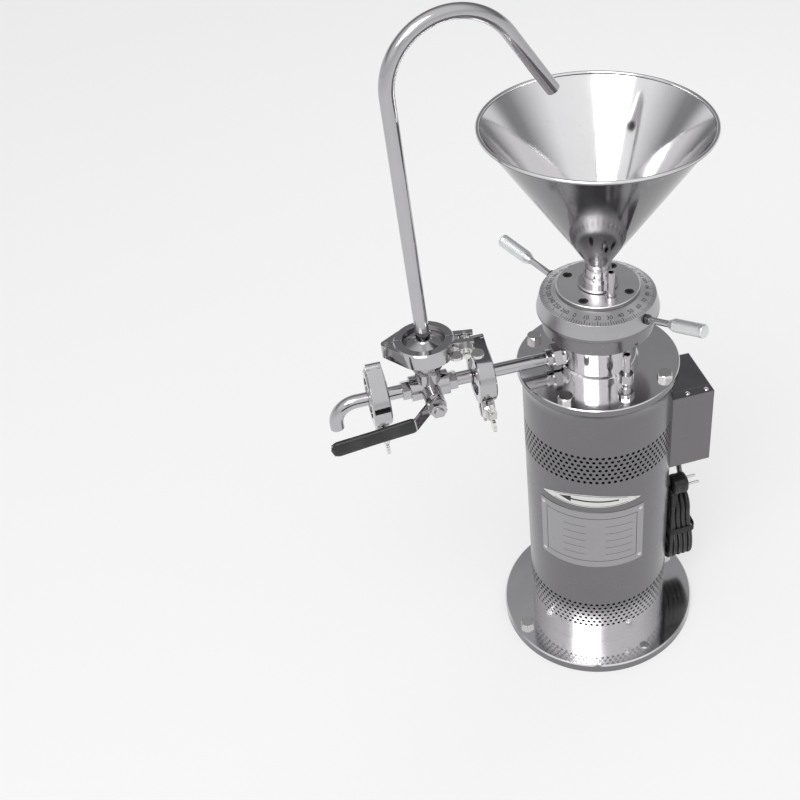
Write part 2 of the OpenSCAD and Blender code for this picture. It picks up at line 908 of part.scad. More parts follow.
module hopper() {
    mouth_r = hopper_d / 2;
    rise = hopper_cone_h;
    slant = atan((mouth_r - hopper_stem_d / 2) / rise);
    shift = hopper_wall / cos(slant);
    color(steel)
        rotate_extrude($fn = 128) {
            polygon([[stem_bore_r, hopper_z], [hopper_stem_d / 2, hopper_z], [hopper_stem_d / 2, cone_z],
                     [mouth_r, cone_z + rise], [mouth_r - shift, cone_z + rise],
                     [stem_bore_r, cone_z + (shift - hopper_wall) / tan(slant)]]);
            translate([mouth_r, cone_z + rise])
                circle(d = hopper_bead_d);
        }
}

// Outlet line: union nut, pipe, clamped ferrules and the three way valve
gasket_t = 1.6;
rim_t = 2;
bevel = 20;
weld_leg = 1.5;
bevel_r = pipe_r + weld_leg;
union_len = 9;
union_flats = 27;

// Ferrule with its sealing face at height zero and its pipe rising from it
module ferrule(tube_len, bore_r = pipe_bore_r) {
    flange_r = ferrule_d / 2;
    back = rim_t + (flange_r - bevel_r) * tan(bevel);
    rotate_extrude()
        polygon([[bore_r, 0], [flange_r, 0], [flange_r, rim_t], [bevel_r, back],
                 [pipe_r, back + weld_leg],
                 [pipe_r, tube_len], [bore_r, tube_len]]);
}

module outlet_union_nut() {
    color(steel)
        along_outlet(outlet_boss_x)
            difference() {
                rotate([0, 0, 30])
                    hex_bar(union_flats, union_len);
                translate([0, 0, -1])
                    cylinder(r = pipe_r + thread_gap, h = union_len + 2);
            }
}

module outlet_pipe() {
    collar_x = outlet_boss_x + union_len;
    face_x = inlet_clamp_x - gasket_t / 2;
    color(steel) {
        union() {
            along_outlet(face_x)
                mirror([0, 0, 1])
                    ferrule(face_x - chamber_d / 2 - 1);
            along_outlet(collar_x)
                tube(pipe_r + 2.5, pipe_bore_r + pipe_wall / 2, 7);
        }
    }
}

// Hinged pipe clamp, in the clamp's own frame: +Z along the pipe, the bolt on the +X side
clamp_r = 32;
clamp_w = 19.5;
jaw_gap = 1.2;
ear_end = 52;
ear_t = 7;
ear_gap = 8;
ear_h = 14;
bolt_x = 43;
bolt_d = 7;
pin_d = 5;
hinge_x = 39;
lug_r = 5.5;
lug_h = 8;
lug_play = 0.15;
eye_r = 6;
eye_h = 8;

function back_of(r) = gasket_t / 2 + rim_t + (ferrule_d / 2 - r) * tan(bevel) + seat_gap;

module jaw_profile() {
    lip_r = ferrule_d / 2 - 2.6;
    groove_r = ferrule_d / 2 + seat_gap;
    half = clamp_w / 2;
    polygon([[lip_r, half], [clamp_r - 1.5, half], [clamp_r, half - 1.5], [clamp_r, 1.5 - half],
             [clamp_r - 1.5, -half], [lip_r, -half], [lip_r, -back_of(lip_r)],
             [groove_r, -back_of(groove_r)], [groove_r, back_of(groove_r)], [lip_r, back_of(lip_r)]]);
}

// One jaw: the half ring on the +Y side with its slotted ear, hinge lugs and pin holes
module clamp_jaw(outer_lugs) {
    ear_in = sqrt(pow(clamp_r, 2) - pow(ear_gap / 2 + ear_t, 2)) - 3;
    slot_h = eye_h + 0.6;
    slot_in = bolt_x - eye_r - 0.5;
    difference() {
        union() {
            difference() {
                rotate_extrude()
                    jaw_profile();
                translate([-clamp_r - 1, jaw_gap / 2 - 2 * clamp_r, -clamp_w])
                    cube([2 * clamp_r + 2, 2 * clamp_r, 2 * clamp_w]);
            }
            translate([ear_in, ear_gap / 2, -ear_h / 2])
                cube([ear_end - ear_in, ear_t, ear_h]);
            difference() {
                hinge_web();
                if (outer_lugs) {
                    lug_room(-lug_h / 2, lug_h);
                } else {
                    lug_room(lug_h / 2 - lug_play, lug_h);
                    lug_room(lug_play - 1.5 * lug_h, lug_h);
                }
            }
            if (outer_lugs) {
                hinge_lug(lug_h / 2, lug_h / 2);
                hinge_lug(-lug_h, lug_h / 2);
            } else {
                hinge_lug(lug_play - lug_h / 2, lug_h - 2 * lug_play);
            }
        }
        translate([-hinge_x, 0, -clamp_w])
            cylinder(d = pin_d + 2 * thread_gap, h = 2 * clamp_w);
        translate([slot_in, 0, -slot_h / 2])
            cube([ear_end, 2 * clamp_r, slot_h]);
        if (outer_lugs)
            translate([bolt_x, ear_mid, -clamp_w])
                cylinder(d = pin_d + 2 * thread_gap, h = 2 * clamp_w);
    }
}

// Web that runs from the ring to the hinge along the line that touches both
module hinge_web() {
    touch = acos((clamp_r - lug_r) / hinge_x);
    translate([0, 0, -lug_h])
        linear_extrude(2 * lug_h)
            polygon([[-clamp_r * cos(touch), clamp_r * sin(touch)],
                     [-hinge_x - lug_r * cos(touch), lug_r * sin(touch)], [-hinge_x, jaw_gap / 2],
                     [-(clamp_r - 3), jaw_gap / 2]]);
}

// Room in a web for the other jaw's lug
module lug_room(z, h) {
    translate([-hinge_x, 0, z])
        cylinder(r = lug_r + seat_gap, h = h);
}

module hinge_lug(z, h) {
    translate([-hinge_x, 0, z])
        cylinder(r = lug_r, h = h);
    translate([-hinge_x, jaw_gap / 2, z])
        cube([hinge_x - clamp_r + 2, lug_r - jaw_gap / 2, h]);
}

module clamp_jaw_pair() {
    clamp_jaw(true);
    mirror([0, 1, 0])
        clamp_jaw(false);
}

// Hinge pin and the pin that the swing bolt turns on
module clamp_pin_pair() {
    pin_l = 2 * lug_h + 1;
    translate([-hinge_x, 0, -pin_l / 2])
        cylinder(d = pin_d, h = pin_l);
    translate([bolt_x, ear_mid, -ear_h / 2 - 0.5])
        cylinder(d = pin_d, h = ear_h + 1);
}

module swing_bolt() {
    difference() {
        union() {
            translate([bolt_x, ear_mid, -eye_h / 2])
                cylinder(r = eye_r, h = eye_h);
            translate([bolt_x, ear_mid, 0])
                rotate([90, 0, 0])
                    cylinder(d = bolt_d, h = ear_mid + nut_seat + 16);
        }
        translate([bolt_x, ear_mid, -eye_h])
            cylinder(d = pin_d + 2 * thread_gap, h = 2 * eye_h);
    }
}

// Wing nut seated on the front ear, with two rounded wings
module wing_nut() {
    hub_r = 8;
    hub_h = 9;
    wing_t = 3.5;
    tip_r = 7;
    tip_y = nut_seat + 13;
    reach = 18;
    translate([bolt_x, 0, 0])
        difference() {
            union() {
                translate([0, -nut_seat, 0])
                    rotate([90, 0, 0])
                        cylinder(r1 = hub_r, r2 = hub_r - 1.5, h = hub_h);
                translate([0, 0, -wing_t / 2])
                    linear_extrude(wing_t)
                        for (side = [-1, 1]) {
                            translate([side * (reach - tip_r), -tip_y])
                                circle(r = tip_r);
                            polygon([[side * 2, -nut_seat - 1], [side * 6, -nut_seat - 1],
                                     [side * (reach - 0.6), -tip_y + 2], [side * (reach - tip_r), -tip_y],
                                     [side * 3.5, -tip_y + 1]]);
                        }
            }
            rotate([90, 0, 0])
                cylinder(d = bolt_d + 2 * running_gap, h = 3 * tip_y);
        }
}

ear_mid = ear_gap / 2 + ear_t / 2;
nut_seat = ear_gap / 2 + ear_t;
inlet_ear_turn = 200;
spout_ear_turn = 180;
top_ear_turn = -10;

// Places of the three clamps
module at_inlet_clamp() {
    along_outlet(inlet_clamp_x)
        rotate([180, 0, inlet_ear_turn])
            children();
}

module at_spout_clamp() {
    along_outlet(spout_clamp_x)
        rotate([180, 0, spout_ear_turn])
            children();
}

module at_top_clamp() {
    translate([-valve_x, 0, outlet_z + top_clamp_rise])
        rotate([0, 0, top_ear_turn])
            children();
}

module inlet_clamp_jaws() {
    color(steel)
        at_inlet_clamp()
            clamp_jaw_pair();
}

module spout_clamp_jaws() {
    color(steel)
        at_spout_clamp()
            clamp_jaw_pair();
}

module top_clamp_jaws() {
    color(steel)
        at_top_clamp()
            clamp_jaw_pair();
}

module clamp_pins() {
    color(dark_steel) {
        at_inlet_clamp()
            clamp_pin_pair();
        at_spout_clamp()
            clamp_pin_pair();
        at_top_clamp()
            clamp_pin_pair();
    }
}

module clamp_bolts() {
    color(steel) {
        at_inlet_clamp()
            swing_bolt();
        at_spout_clamp()
            swing_bolt();
        at_top_clamp()
            swing_bolt();
    }
}

module inlet_wing_nut() {
    color(steel)
        at_inlet_clamp()
            wing_nut();
}

module spout_wing_nut() {
    color(steel)
        at_spout_clamp()
            wing_nut();
}

module top_wing_nut() {
    color(steel)
        at_top_clamp()
            wing_nut();
}

module clamp_gasket() {
    translate([0, 0, -gasket_t / 2])
        tube(ferrule_d / 2 - 0.5, pipe_bore_r, gasket_t);
}

module clamp_gaskets() {
    color("white") {
        at_inlet_clamp()
            clamp_gasket();
        at_spout_clamp()
            clamp_gasket();
        at_top_clamp()
            clamp_gasket();
    }
}

// Three way ball valve: tee shaped body, screwed in adaptors, ball on a stem towards the front
body_half = 21;
body_top = 23;
body_r = 14;
port_r = 9;
ball_r = 8.8;
ball_port_r = 5;
seat_out = 10;
seat_bore_r = 5.6;
seat_in = sqrt(pow(ball_r, 2) - pow(seat_bore_r, 2)) + seat_gap;
top_seat_r = seat_in - running_gap;
stem_d = 10;
stem_boss_y = 30;
gland_h = 6;
gland_nut_flats = 19;
adaptor_hex_h = 9;
side_hex = 19;
top_hex = 28;

module at_valve() {
    translate([-valve_x, 0, outlet_z])
        children();
}

module valve_body() {
    color(steel)
        at_valve()
            difference() {
                union() {
                    rotate([0, 90, 0])
                        cylinder(r = body_r, h = 2 * body_half, center = true);
                    cylinder(r = body_r, h = body_top);
                    rotate([90, 0, 0])
                        cylinder(d = stem_d + 11, h = stem_boss_y);
                    sphere(r = body_r + 2);
                }
                rotate([0, 90, 0])
                    cylinder(r = port_r, h = 2 * body_half + 2, center = true);
                cylinder(r = top_seat_r + thread_gap, h = body_top);
                translate([0, 0, seat_out])
                    cylinder(r = port_r, h = body_top);
                rotate([90, 0, 0])
                    cylinder(d = stem_d + 2 * running_gap, h = stem_boss_y + 1);
                sphere(r = ball_r + seat_gap);
            }
}

// Adaptor from a ferrule's face at height zero to a hexagon and a screwed end in the valve
module adaptor(face_to_body, hex_flats, screw_len) {
    difference() {
        union() {
            ferrule(face_to_body - adaptor_hex_h + 1);
            translate([0, 0, face_to_body - adaptor_hex_h])
                hex_bar(hex_flats, adaptor_hex_h);
            translate([0, 0, face_to_body - 1])
                cylinder(r = port_r - thread_gap, h = screw_len + 1);
        }
        translate([0, 0, face_to_body - adaptor_hex_h - 1])
            cylinder(r = seat_bore_r, h = adaptor_hex_h + screw_len + 2);
    }
}

module valve_adaptors() {
    color(steel) {
        along_outlet(inlet_clamp_x + gasket_t / 2)
            adaptor(valve_x - body_half - inlet_clamp_x - gasket_t / 2, side_hex, body_half - seat_out);
        along_outlet(spout_clamp_x - gasket_t / 2)
            mirror([0, 0, 1])
                adaptor(spout_clamp_x - gasket_t / 2 - valve_x - body_half, side_hex,
                        body_half - seat_out);
        at_top_clamp()
            translate([0, 0, -gasket_t / 2])
                mirror([0, 0, 1])
                    adaptor(top_clamp_rise - gasket_t / 2 - body_top, top_hex, body_top - seat_out);
    }
}

module valve_seats() {
    color("white")
        at_valve() {
            for (turn = [-90, 90])
                rotate([0, turn, 0])
                    translate([0, 0, seat_in])
                        tube(port_r - thread_gap, seat_bore_r, seat_out - seat_in);
            translate([0, 0, seat_in])
                tube(top_seat_r, seat_bore_r, seat_out - seat_in);
        }
}

stem_foot = 7;
tang_t = 3;
tang_h = 1.8;

module valve_ball() {
    color(steel)
        at_valve()
            difference() {
                sphere(r = ball_r);
                rotate([0, 90, 0])
                    cylinder(r = ball_port_r, h = 3 * ball_r, center = true);
                rotate([180, 0, 0])
                    cylinder(r = ball_port_r, h = 2 * ball_r);
                translate([-ball_r, -stem_foot - 2 * ball_r, -ball_r])
                    cube(2 * ball_r);
                translate([-tang_t / 2 - press_gap, -2 * ball_r, -ball_r])
                    cube([tang_t + 2 * press_gap, 2 * ball_r - stem_foot + tang_h, 2 * ball_r]);
            }
}

lever_y = stem_boss_y + gland_h + 1;
stem_proud = 7;
stem_end = lever_y + lever_t + stem_proud;

module valve_stem() {
    color(steel)
        at_valve() {
            translate([0, -stem_foot, 0])
                rotate([90, 0, 0])
                    cylinder(d = stem_d, h = stem_end - stem_foot);
            translate([-tang_t / 2, -stem_foot - 1, -4])
                cube([tang_t, tang_h + 1 - press_gap, 8]);
        }
}

module valve_gland_nut() {
    color(steel)
        at_valve()
            translate([0, -stem_boss_y, 0])
                rotate([90, 0, 0])
                    difference() {
                        hex_bar(gland_nut_flats, gland_h);
                        translate([0, 0, -1])
                            cylinder(d = stem_d + 2 * running_gap, h = gland_h + 2);
                    }
}

// Lever: a cranked strip on the stem with a sleeve grip and a cap nut
crank_start = 11;
mitre = lever_t * tan(22.5);

module at_lever() {
    at_valve()
        rotate([0, -lever_droop, 0])
            children();
}

module valve_lever() {
    hub_r = 10;
    out_y = lever_y + lever_crank;
    color(steel)
        at_lever()
            difference() {
                union() {
                    translate([0, -lever_y, 0])
                        rotate([90, 0, 0])
                            cylinder(r = hub_r, h = lever_t);
                    translate([0, 0, -lever_w / 2])
                        linear_extrude(lever_w)
                            polygon([[0, -lever_y], [-crank_start, -lever_y],
                                     [-crank_start - lever_crank, -out_y], [-lever_len, -out_y],
                                     [-lever_len, -out_y - lever_t],
                                     [mitre - crank_start - lever_crank, -out_y - lever_t],
                                     [mitre - crank_start, -lever_y - lever_t], [0, -lever_y - lever_t]]);
                }
                translate([0, -lever_y + 1, 0])
                    rotate([90, 0, 0])
                        cylinder(d = stem_d + 2 * press_gap, h = lever_t + 2);
            }
}

module lever_grip() {
    cover = 2;
    grip_h = lever_w + 2 * cover;
    grip_in = crank_start + lever_crank + 2;
    grip_out = lever_len + cover;
    mid_y = lever_y + lever_crank + lever_t / 2;
    color("black")
        at_lever()
            difference() {
                translate([0, -mid_y + lever_t / 2 + cover, 0])
                    rotate([90, 0, 0])
                        linear_extrude(lever_t + 2 * cover) {
                            translate([grip_h / 2 - grip_out, -grip_h / 2])
                                square([grip_out - grip_h / 2 - grip_in, grip_h]);
                            translate([grip_h / 2 - grip_out, 0])
                                circle(d = grip_h);
                        }
                translate([-lever_len - press_gap, -mid_y, 0])
                    translate([0, -lever_t / 2 - press_gap, -lever_w / 2 - press_gap])
                        cube([lever_len, lever_t + 2 * press_gap, lever_w + 2 * press_gap]);
            }
}

module stem_nut() {
    nut_h = 10;
    nut_flats = 16;
    dome_d = 9;
    color(steel)
        at_valve()
            translate([0, -lever_y - lever_t, 0])
                rotate([90, 0, 0])
                    difference() {
                        union() {
                            hex_bar(nut_flats, stem_proud);
                            cylinder(d1 = nut_flats - 0.5, d2 = dome_d, h = nut_h);
                        }
                        translate([0, 0, -1])
                            cylinder(d = stem_d + 2 * press_gap, h = 1 + stem_proud + press_gap);
                    }
}

// Circulation pipe: riser, bend and end above the hopper, swivelling in the top clamp
riser_foot = 10;

// The run of the pipe as a solid of one radius, from a height in the ferrule to its end
module riser_run(r, from, past) {
    rise = riser_len - top_clamp_rise;
    rotate([0, -riser_lean, 0]) {
        translate([0, 0, from])
            cylinder(r = r, h = rise - from);
        translate([riser_bend_r, 0, rise])
            rotate([90, 0, 0])
                rotate([0, 0, 180 - riser_bend])
                    rotate_extrude(angle = riser_bend)
                        translate([riser_bend_r, 0])
                            circle(r = r);
        translate([riser_bend_r, 0, rise])
            rotate([0, riser_bend, 0])
                translate([-riser_bend_r, 0, 0])
                    cylinder(r = r, h = riser_end + past);
    }
}

module circulation_pipe() {
    color(steel)
        at_top_clamp()
            translate([0, 0, gasket_t / 2])
                rotate([0, 0, riser_turn - top_ear_turn])
                    difference() {
                        union() {
                            ferrule(riser_foot, pipe_bore_r - 1);
                            riser_run(pipe_r, riser_foot / 2, 0);
                        }
                        riser_run(pipe_bore_r, -riser_foot, 1);
                    }
}

spout_tail = 6;

module spout() {
    bend_r = spout_drop - spout_tail;
    face_x = spout_clamp_x + gasket_t / 2;
    color(steel)
        union() {
            along_outlet(face_x)
                ferrule(spout_x - bend_r - face_x);
            translate([bend_r - spout_x, 0, outlet_z - bend_r])
                rotate([90, 0, 0])
                    rotate([0, 0, 90])
                        rotate_extrude(angle = 90)
                            translate([bend_r, 0])
                                difference() {
                                    circle(r = pipe_r);
                                    circle(r = pipe_bore_r);
                                }
            translate([-spout_x, 0, outlet_z - spout_drop])
                tube(pipe_r, pipe_bore_r, spout_tail);
        }
}

// Junction box on the housing's side with its cover, cable gland and cord
box_z = base_t + box_rise;
gland_x = 108.5;
gland_thread_d = 16;
gland_len = 25;
cord_d = 7;

module box_block(y_from, y_to) {
    difference() {
        translate([shell_r * 0.8, y_from, box_z])
            cube([box_x - shell_r * 0.8, y_to - y_from, box_h]);
        translate([0, 0, box_z - 1])
            cylinder(r = shell_r + press_gap, h = box_h + 2);
    }
}

module box_room(y_from, y_to) {
    room_x = shell_r + box_wall + 1;
    translate([room_x, y_from, box_z + box_wall])
        cube([box_x - box_wall - room_x, y_to - y_from, box_h - 2 * box_wall]);
}

module junction_box() {
    split_y = box_cover - box_w / 2;
    color("darkgray")
        difference() {
            box_block(split_y, box_w / 2);
            box_room(split_y - 1, box_w / 2 - box_wall);
            translate([shell_r * 0.8, 0, base_t + wire_hole_rise])
                rotate([0, 90, 0])
                    cylinder(d = wire_hole_d, h = 40);
            translate([gland_x, 0, box_z - 1])
                cylinder(d = gland_thread_d + 2 * thread_gap, h = box_wall + 2);
        }
}

module junction_box_cover() {
    split_y = box_cover - box_w / 2;
    color("darkgray")
        difference() {
            box_block(-box_w / 2, split_y);
            box_room(box_wall - box_w / 2, split_y + 1);
        }
}

module cable_gland() {
    hex_flats = 21;
    hex_h = 7;
    cap_r = 9;
    cap_z = 12;
    mouth_r = 4.5;
    color("black")
        translate([gland_x, 0, box_z])
            mirror([0, 0, 1]) {
                hex_bar(hex_flats, hex_h);
                translate([0, 0, -box_wall])
                    cylinder(d = gland_thread_d, h = box_wall + 1);
                rotate_extrude()
                    polygon([[0, hex_h - 1], [cap_r, hex_h - 1], [cap_r, cap_z], [mouth_r, gland_len],
                             [0, gland_len]]);
            }
}

// Supply cord: a tail from the gland down to a tied hank, with the plug beside the hank's top
hank_layers = 5;
hank_x = 91;
hank_half_w = 24.5;
hank_low = 50;
hank_high = 172;
tail_points = [[108.5, 0, 222], [108.7, 0.3, 216], [110, 2, 208], [112.5, 6, 199], [116, 11.5, 188],
               [119.5, 16.5, 176], [121.7, 19.8, 165], [122.5, 21, 154]];
tail_sides = 12;

function unit(v) = v / norm(v);

function heading(path, i) = unit(path[min(i + 1, len(path) - 1)] - path[max(i - 1, 0)]);

function tail_ring(path, i) =
    let (along = i == 0 ? [0, 0, -1] : heading(path, i), side = unit(cross([1, 0, 0], along)),
         up = cross(along, side))
    [for (k = [0 : tail_sides - 1])
        path[i] + cord_d / 2 * (cos(k * 360 / tail_sides) * side + sin(k * 360 / tail_sides) * up)];

module cord_tail() {
    rings = len(tail_points);
    points = [for (i = [0 : rings - 1]) each tail_ring(tail_points, i)];
    sides = [for (i = [0 : rings - 2], k = [0 : tail_sides - 1])
        let (next = (k + 1) % tail_sides, low = i * tail_sides, high = low + tail_sides)
        [low + k, high + k, high + next, low + next]];
    color("black")
        polyhedron(points, concat([[for (k = [0 : tail_sides - 1]) k]], sides,
                                  [[for (k = [tail_sides - 1 : -1 : 0]) (rings - 1) * tail_sides + k]]));
}

module cord_hank() {
    color("black")
        translate([hank_x, 0, 0])
            rotate([90, 0, 90])
                linear_extrude(hank_layers * cord_d) {
                    translate([-hank_half_w, hank_low + hank_half_w])
                        square([2 * hank_half_w, hank_high - hank_low - 2 * hank_half_w]);
                    for (z = [hank_low + hank_half_w, hank_high - hank_half_w])
                        translate([0, z])
                            circle(r = hank_half_w);
                }
}

module power_plug() {
    plug_x = hank_x + cord_d / 2;
    plug_y = cord_d / 2 - hank_half_w;
    relief_z = hank_high - 14;
    relief_len = 30;
    plug_r = 12;
    body_len = 22;
    pin_len = 16;
    pin_gap = 12;
    color("black")
        translate([plug_x, plug_y, relief_z]) {
            union() {
                cylinder(d1 = cord_d + 0.5, d2 = cord_d + 5, h = relief_len + 3);
                translate([-5, 0, relief_len + plug_r - 2])
                    rotate([0, 90, 0])
                        cylinder(r = plug_r, h = body_len);
                for (side = [-1, 1])
                    translate([body_len - 6, side * pin_gap / 2, relief_len + plug_r - 2])
                        rotate([0, 90, 0])
                            cylinder(d = 4, h = pin_len);
            }
        }
}

base_plate();
hold_down_bolts();
motor_shell();
top_plate();
plate_bolts();
motor_frame();
stator_core();
stator_windings();
motor_rotor();
motor_shaft();
lower_end_shield();
tie_bolts();
shaft_bearings();
cooling_fan();
fan_cowl();
shaft_seal();
mill_casing();
lock_ring();
adjusting_dial();
handle_rods();
handle_grips();
stator_carrier();
grinding_stator();
grinding_rotor();
rotor_nut();
feed_flange();
feed_flange_screws();
feed_water_nipple();
casing_water_nipple();
hopper_gasket();
hopper_neck();
hopper();
outlet_union_nut();
outlet_pipe();
inlet_clamp_jaws();
spout_clamp_jaws();
top_clamp_jaws();
clamp_pins();
clamp_bolts();
inlet_wing_nut();
spout_wing_nut();
top_wing_nut();
clamp_gaskets();
valve_body();
valve_adaptors();
valve_seats();
valve_ball();
valve_stem();
valve_gland_nut();
valve_lever();
lever_grip();
stem_nut();
circulation_pipe();
spout();
junction_box();
junction_box_cover();
cable_gland();
cord_tail();
cord_hank();
power_plug();
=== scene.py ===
"""Looks of a vertical colloid mill: steel head, perforated motor housing, clamped outlet line and cord."""

import logging
import math
from dataclasses import dataclass
from enum import Enum
from typing import Iterable, Sequence, Union

import bpy
import numpy as np
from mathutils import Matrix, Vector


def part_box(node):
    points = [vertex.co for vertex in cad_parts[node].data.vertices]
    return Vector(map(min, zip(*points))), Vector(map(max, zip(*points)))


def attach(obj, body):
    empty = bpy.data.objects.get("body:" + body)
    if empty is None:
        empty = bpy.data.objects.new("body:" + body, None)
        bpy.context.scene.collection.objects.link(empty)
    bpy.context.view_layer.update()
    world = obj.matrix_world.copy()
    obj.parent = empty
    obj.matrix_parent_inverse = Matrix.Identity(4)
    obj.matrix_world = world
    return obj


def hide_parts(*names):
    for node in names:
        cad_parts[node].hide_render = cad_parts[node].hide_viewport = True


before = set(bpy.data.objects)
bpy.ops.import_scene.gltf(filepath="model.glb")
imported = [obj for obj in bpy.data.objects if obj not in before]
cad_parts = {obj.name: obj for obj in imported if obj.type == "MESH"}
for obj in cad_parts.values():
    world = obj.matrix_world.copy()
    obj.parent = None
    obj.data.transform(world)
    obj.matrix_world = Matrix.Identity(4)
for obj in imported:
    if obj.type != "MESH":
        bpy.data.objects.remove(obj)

MM = 0.001
TURN = 2 * math.pi
WELD = 0.002 * MM
EDGE_SAMPLES = 4
LOG = logging.getLogger("colloid_mill")

Colour = tuple[float, float, float]


# Shader maths

@dataclass(frozen=True)
class Value:
    """A shader value: one output socket, with operators that add Math nodes."""

    tree: "NodeTree"
    socket: bpy.types.NodeSocket

    def _math(self, operation: str, first: "Operand", second: "Operand") -> "Value":
        """Adds one Math node.

        Args:
            operation: Blender's name of the operation.
            first: Left operand.
            second: Right operand.

        Returns:
            The node's result.
        """
        return self.tree.value("ShaderNodeMath", {"operation": operation}, {0: first, 1: second})

    def __add__(self, other: "Operand") -> "Value":
        """This value plus the other."""
        return self._math("ADD", self, other)

    def __radd__(self, other: "Operand") -> "Value":
        """The other plus this value."""
        return self._math("ADD", other, self)

    def __sub__(self, other: "Operand") -> "Value":
        """This value minus the other."""
        return self._math("SUBTRACT", self, other)

    def __rsub__(self, other: "Operand") -> "Value":
        """The other minus this value."""
        return self._math("SUBTRACT", other, self)

    def __mul__(self, other: "Operand") -> "Value":
        """This value times the other."""
        return self._math("MULTIPLY", self, other)

    def __rmul__(self, other: "Operand") -> "Value":
        """The other times this value."""
        return self._math("MULTIPLY", other, self)


Operand = Union[Value, float, Sequence[float]]


@dataclass(frozen=True)
class Pattern:
    """A soft noise: spots per metre, octaves and the weight of the finer octaves."""

    scale: float
    detail: float
    rough: float


class NodeTree:
    """A node tree that is filled through one node-making method."""

    def __init__(self, tree: bpy.types.NodeTree) -> None:
        """Empties the tree.

        Args:
            tree: The material's or world's node tree.
        """
        self.tree = tree
        self.tree.nodes.clear()

    def node(self, kind: str, settings: dict | None = None, sockets: dict | None = None) -> bpy.types.Node:
        """Makes one node, sets it up and then fills its sockets.

        Args:
            kind: Blender's type of node.
            settings: Attributes of the node; "stops" gives a ramp's positions and colours.
            sockets: Input names or numbers, with a number, a colour or a value to link.

        Returns:
            The new node.
        """
        made = self.tree.nodes.new(kind)
        for key, setting in (settings or {}).items():
            if key == "stops":
                self._set_stops(made.color_ramp.elements, setting)
            else:
                setattr(made, key, setting)
        for key, content in (sockets or {}).items():
            if isinstance(content, Value):
                self.tree.links.new(content.socket, made.inputs[key])
            else:
                made.inputs[key].default_value = content
        return made

    @staticmethod
    def _set_stops(elements: bpy.types.ColorRampElements, stops: Sequence[tuple[float, Colour]]) -> None:
        """Replaces a ramp's stops.

        Args:
            elements: The ramp's elements.
            stops: Position and colour of each stop.
        """
        while len(elements) < len(stops):
            elements.new(1.0)
        for element, (position, colour) in zip(elements, stops):
            element.position = position
            element.color = (*colour, 1.0)

    def value(self, kind: str, settings: dict | None = None, sockets: dict | None = None,
              output: Union[int, str] = 0) -> Value:
        """Makes one node and wraps an output of it.

        Args:
            kind: Blender's type of node.
            settings: Attributes of the node.
            sockets: Inputs of the node.
            output: Which output is wrapped.

        Returns:
            The wrapped output.
        """
        return Value(self, self.node(kind, settings, sockets).outputs[output])

    def position(self, scale: Sequence[float] = (1.0, 1.0, 1.0)) -> Value:
        """Object coordinates in metres, stretched along the axes.

        Args:
            scale: Factor along each axis.

        Returns:
            The stretched coordinates.
        """
        place = self.value("ShaderNodeTexCoord", output="Object")
        return self.value("ShaderNodeVectorMath", {"operation": "MULTIPLY"}, {0: place, 1: tuple(scale)})

    def noise(self, where: Value, pattern: Pattern) -> Value:
        """Soft noise from 0 to 1.

        Args:
            where: Coordinates.
            pattern: Size and fineness of the noise.

        Returns:
            The noise.
        """
        return self.value("ShaderNodeTexNoise", {}, {"Vector": where, "Scale": pattern.scale,
                                                     "Detail": pattern.detail, "Roughness": pattern.rough})

    def spread(self, source: Value, low: float, high: float, to_low: float = 0.0,
               to_high: float = 1.0) -> Value:
        """Maps a range of a value onto another range by a smooth step, with clamped ends.

        Args:
            source: The value.
            low: Start of the source's range.
            high: End of the source's range.
            to_low: Result at the start.
            to_high: Result at the end.

        Returns:
            The mapped value.
        """
        return self.value("ShaderNodeMapRange", {"interpolation_type": "SMOOTHSTEP"},
                          {"Value": source, "From Min": low, "From Max": high, "To Min": to_low,
                           "To Max": to_high})

    def mix(self, share: Operand, first: Operand, second: Operand) -> Value:
        """Blends two colours.

        Args:
            share: 0 gives the first colour, 1 the second.
            first: A colour.
            second: A colour.

        Returns:
            The blended colour.
        """
        return self.value("ShaderNodeMix", {"data_type": "RGBA"}, {0: share, 6: first, 7: second}, 2)


def rgba(colour: Colour, factor: float = 1.0) -> tuple[float, float, float, float]:
    """A colour with full alpha, made lighter or darker by a factor."""
    return (*(min(1.0, part * factor) for part in colour), 1.0)


# Finishes

SMUDGES = Pattern(14.0, 5.0, 0.6)
SPECKS = Pattern(140.0, 3.0, 0.55)
LINES = Pattern(2600.0, 2.0, 0.5)
WAVES = Pattern(26.0, 1.0, 0.4)
PATCHES = Pattern(45.0, 4.0, 0.6)


def blank_material(name: str) -> tuple[bpy.types.Material, NodeTree]:
    """Makes a material to be filled with nodes.

    Args:
        name: Name of the material.

    Returns:
        The material and its empty node tree.
    """
    made = bpy.data.materials.new(name)
    made.use_nodes = True
    return made, NodeTree(made.node_tree)


class Grain(Enum):
    """Direction of the fine lines in a metal, as stretch factors of the coordinates."""

    NONE = (1.0, 1.0, 1.0)
    AROUND = (0.02, 0.02, 1.0)
    UPRIGHT = (1.0, 1.0, 0.02)


